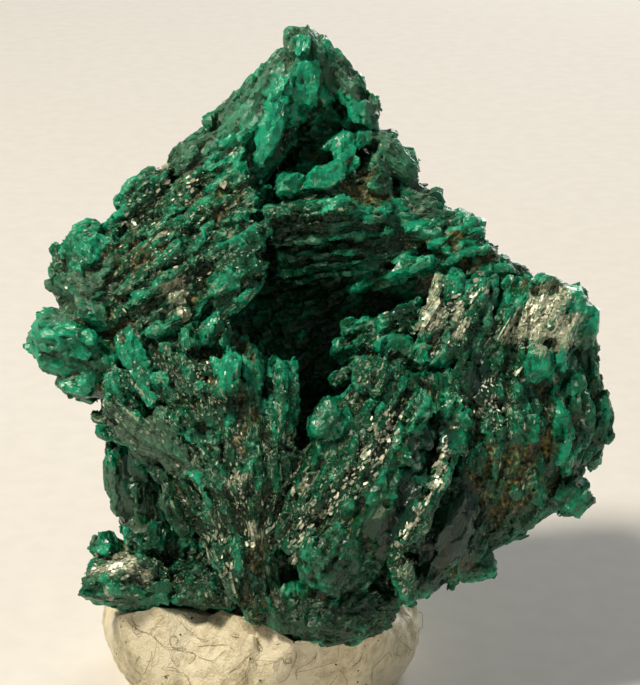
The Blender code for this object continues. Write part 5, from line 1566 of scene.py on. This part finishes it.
def laid_on(places, lift, arch):
    """Places moved to just over the putty, evened out, and raised in an arch at their middle."""
    found = [putty_tree.find_nearest(Vector(place)) for place in places]
    laid = np.array([spot for spot, _, _, _ in found])
    way = np.mean([normal for _, normal, _, _ in found], axis=0)
    for _ in range(EVENINGS):
        laid[1:-1] = (laid[:-2] + 2 * laid[1:-1] + laid[2:]) / 4
    share = np.linspace(0, math.pi, len(laid))
    return laid + way * (lift + arch * np.sin(share))[:, None] * MM


def make_fibres(name, paths, radius, material):
    curve = bpy.data.curves.new(name, "CURVE")
    curve.dimensions = "3D"
    curve.bevel_depth = radius * MM
    curve.bevel_resolution = 1
    curve.resolution_u = 2
    for number, path in enumerate(paths):
        spline = curve.splines.new("NURBS")
        laid = laid_on(path, radius + ABOVE_PUTTY, ARCHES[number % len(ARCHES)])
        spline.points.add(len(laid) - 1)
        for point, spot in zip(spline.points, laid):
            point.co = (*spot, 1.0)
        spline.use_endpoint_u = True
    made = new_object(name, curve)
    mesh = evaluated(made)
    bpy.data.objects.remove(made)
    mesh.materials.clear()
    mesh.materials.append(material)
    print(name, "faces:", len(mesh.polygons))
    return new_object(name, mesh)


def dull_finish(name, dark, light):
    """A dull finish in two near colours, for what clings to the putty."""
    material, tree, shader = new_material(name)
    place = add_node(tree, "ShaderNodeTexCoord").outputs["Object"]
    uneven = add_node(tree, "ShaderNodeTexNoise", None, {"Vector": place, "Scale": per(0.5), "Detail": 2.0})
    colour = add_node(tree, "ShaderNodeValToRGB", None, {0: uneven.outputs[0]})
    set_stops(colour, [(0.4, dark), (0.6, light)])
    set_inputs(tree, shader, {"Base Color": colour.outputs[0], "Roughness": 0.7})
    return material


# cloth fibre: dull brown, darker than the putty it lies on
cloth = dull_finish("brown_cloth_fibre", "#54452f", "#8d7c5e")
brown_fibres = make_fibres("brown_lint", brown, FIBRE_RADIUS, cloth)
# hair: thinner than the cloth fibres, and about as pale as the putty
hair = dull_finish("pale_hair", "#b8ab8a", "#e6dcc0")
pale_fibres = make_fibres("pale_hairs", pale, FIBRE_RADIUS * HAIR_SHARE, hair)

# %% [markdown]
# ### Crumbs
# Grit and chips of the crystal stick to the putty as well. Each is a small icosphere with its corners
# knocked in and out. Icospheres are cheap, and so dozens of them cost little.

# %% Crumbs on the putty
# each row: across, up, size
GRIT = [
    (-6.4, -13.8, 0.16), (0.8, -16.1, 0.15), (-3.5, -15.8, 0.12), (-9.7, -15.0, 0.1), (2.9, -14.9, 0.1),
]
CHIPS = [
    (-3.0, -16.9, 0.16), (-0.9, -14.1, 0.3), (-7.0, -14.6, 0.12), (1.9, -16.4, 0.12),
]
STRAY_GRIT, STRAY_CHIPS = 60, 30
STRAY_SIZES = (0.02, 0.06)
CRUMBS_FROM = 1.0  # millimetres above the base
CORNERS_OUT = (0.6, 1.2)  # how far a crumb's corners lie out, as shares of its radius


def add_crumb(work, spot, size, rng):
    """A small broken piece: an icosphere with its corners knocked in and out."""
    made = bmesh.ops.create_icosphere(work, subdivisions=1, radius=size * MM)
    for corner in made["verts"]:
        corner.co = Vector(spot) + corner.co * rng.uniform(*CORNERS_OUT)


def make_crumbs(name, placed, strays, material, seed):
    rng = np.random.default_rng(seed)
    work = bmesh.new()
    for across, up, size in placed:
        hit = hit_from_eye(putty_tree, across, up)
        if hit:
            add_crumb(work, hit[0], size / 2, rng)
    points = rows_of(putty.data, "co")
    for row in rng.choice(np.flatnonzero(points[:, 2] > CRUMBS_FROM * MM), strays, replace=False):
        add_crumb(work, points[row], rng.uniform(*STRAY_SIZES), rng)
    mesh = new_mesh(name, work, material)
    print(name, "faces:", len(mesh.polygons))
    return new_object(name, mesh)


# grit: black and dull, so that it reads as dirt
grit = make_crumbs("grit", GRIT, STRAY_GRIT, dull_finish("black_grit", "#0d0c0a", "#2a2620"), 31)
# chips of the crystal itself: its greens without its gloss
chips = make_crumbs("green_chips", CHIPS, STRAY_CHIPS, dull_finish("green_chip", "#04301e", "#1c7a55"), 32)
putty_pieces = [putty, brown_fibres, pale_fibres, grit, chips]

# %% [markdown]
# ## Floor and light
# A specimen like this is shown on pale card under one warm lamp from the upper left, which throws its
# glints towards the eye and leaves the lower right in shade. A weak, cool fill keeps the shade open, and
# a lamp behind lights the card.

# %% Floor and lights
FLOOR_HALF = 1.0  # metres
# each lamp: the way it shines from, its distance and width in metres, its power in watts, its colour
LAMPS = {
    "key": ((-0.62, 0.85, 0.6), 0.35, 0.06, 1.4, "#fff3e0"),
    "fill": ((1.0, 0.5, 0.9), 0.5, 0.35, 0.16, "#eef1f6"),
    "rear": ((0.7, 1.0, -1.4), 0.5, 0.3, 1.8, "#fffdf8"),
}
ROOM_COLOUR, ROOM_STRENGTH = "#efece6", 0.14


def card():
    """Matt cream card with a faint paper grain."""
    material, tree, shader = new_material("matt_cream_card")
    place = add_node(tree, "ShaderNodeTexCoord").outputs["Object"]
    grain = add_node(tree, "ShaderNodeTexNoise", None, {"Vector": place, "Scale": per(1.5), "Detail": 3.0})
    colour = add_node(tree, "ShaderNodeValToRGB", None, {0: grain.outputs[0]})
    set_stops(colour, [(0.35, "#dedcd8"), (0.65, "#e2e0dc")])
    set_inputs(tree, shader, {"Base Color": colour.outputs[0], "Roughness": 0.9})
    return material


def floor():
    work = bmesh.new()
    bmesh.ops.create_grid(work, x_segments=2, y_segments=2, size=FLOOR_HALF)
    return new_object("floor", new_mesh("floor", work, card()))


def area_light(name, way, distance, size, power, code):
    """A round lamp that shines on the middle of the display side."""
    lamp = bpy.data.lights.new(name, "AREA")
    lamp.shape = "DISK"
    lamp.size = size
    lamp.energy = power
    lamp.color = linear(code)[:3]
    made = new_object(name, lamp)
    towards = facing(*way)
    made.location = Vector(DISPLAY_CENTRE * MM + towards * distance)
    made.rotation_euler = Vector(towards).to_track_quat("Z", "Y").to_euler()


floor()
for name, settings in LAMPS.items():
    area_light(name, *settings)
world = bpy.data.worlds.new("studio")
bpy.context.scene.world = world
world.use_nodes = True
background = world.node_tree.nodes["Background"].inputs
background["Color"].default_value = linear(ROOM_COLOUR)
background["Strength"].default_value = ROOM_STRENGTH
bpy.context.scene.view_settings.view_transform = "Standard"
print("lamps:", list(LAMPS))

# %% [markdown]
# ## Hand over
# Nothing on the specimen moves, so every piece rides the one body. The crystal body and the putty lump
# stand in for the two imported solids, which are kept beside the scene, hidden.

# %% Hand over
for pieces, slot in ((crystal_pieces, "euchroite"), (putty_pieces, "putty")):
    for piece in pieces:
        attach(piece, "root")
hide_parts("euchroite_cluster")
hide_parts("mounting_putty")
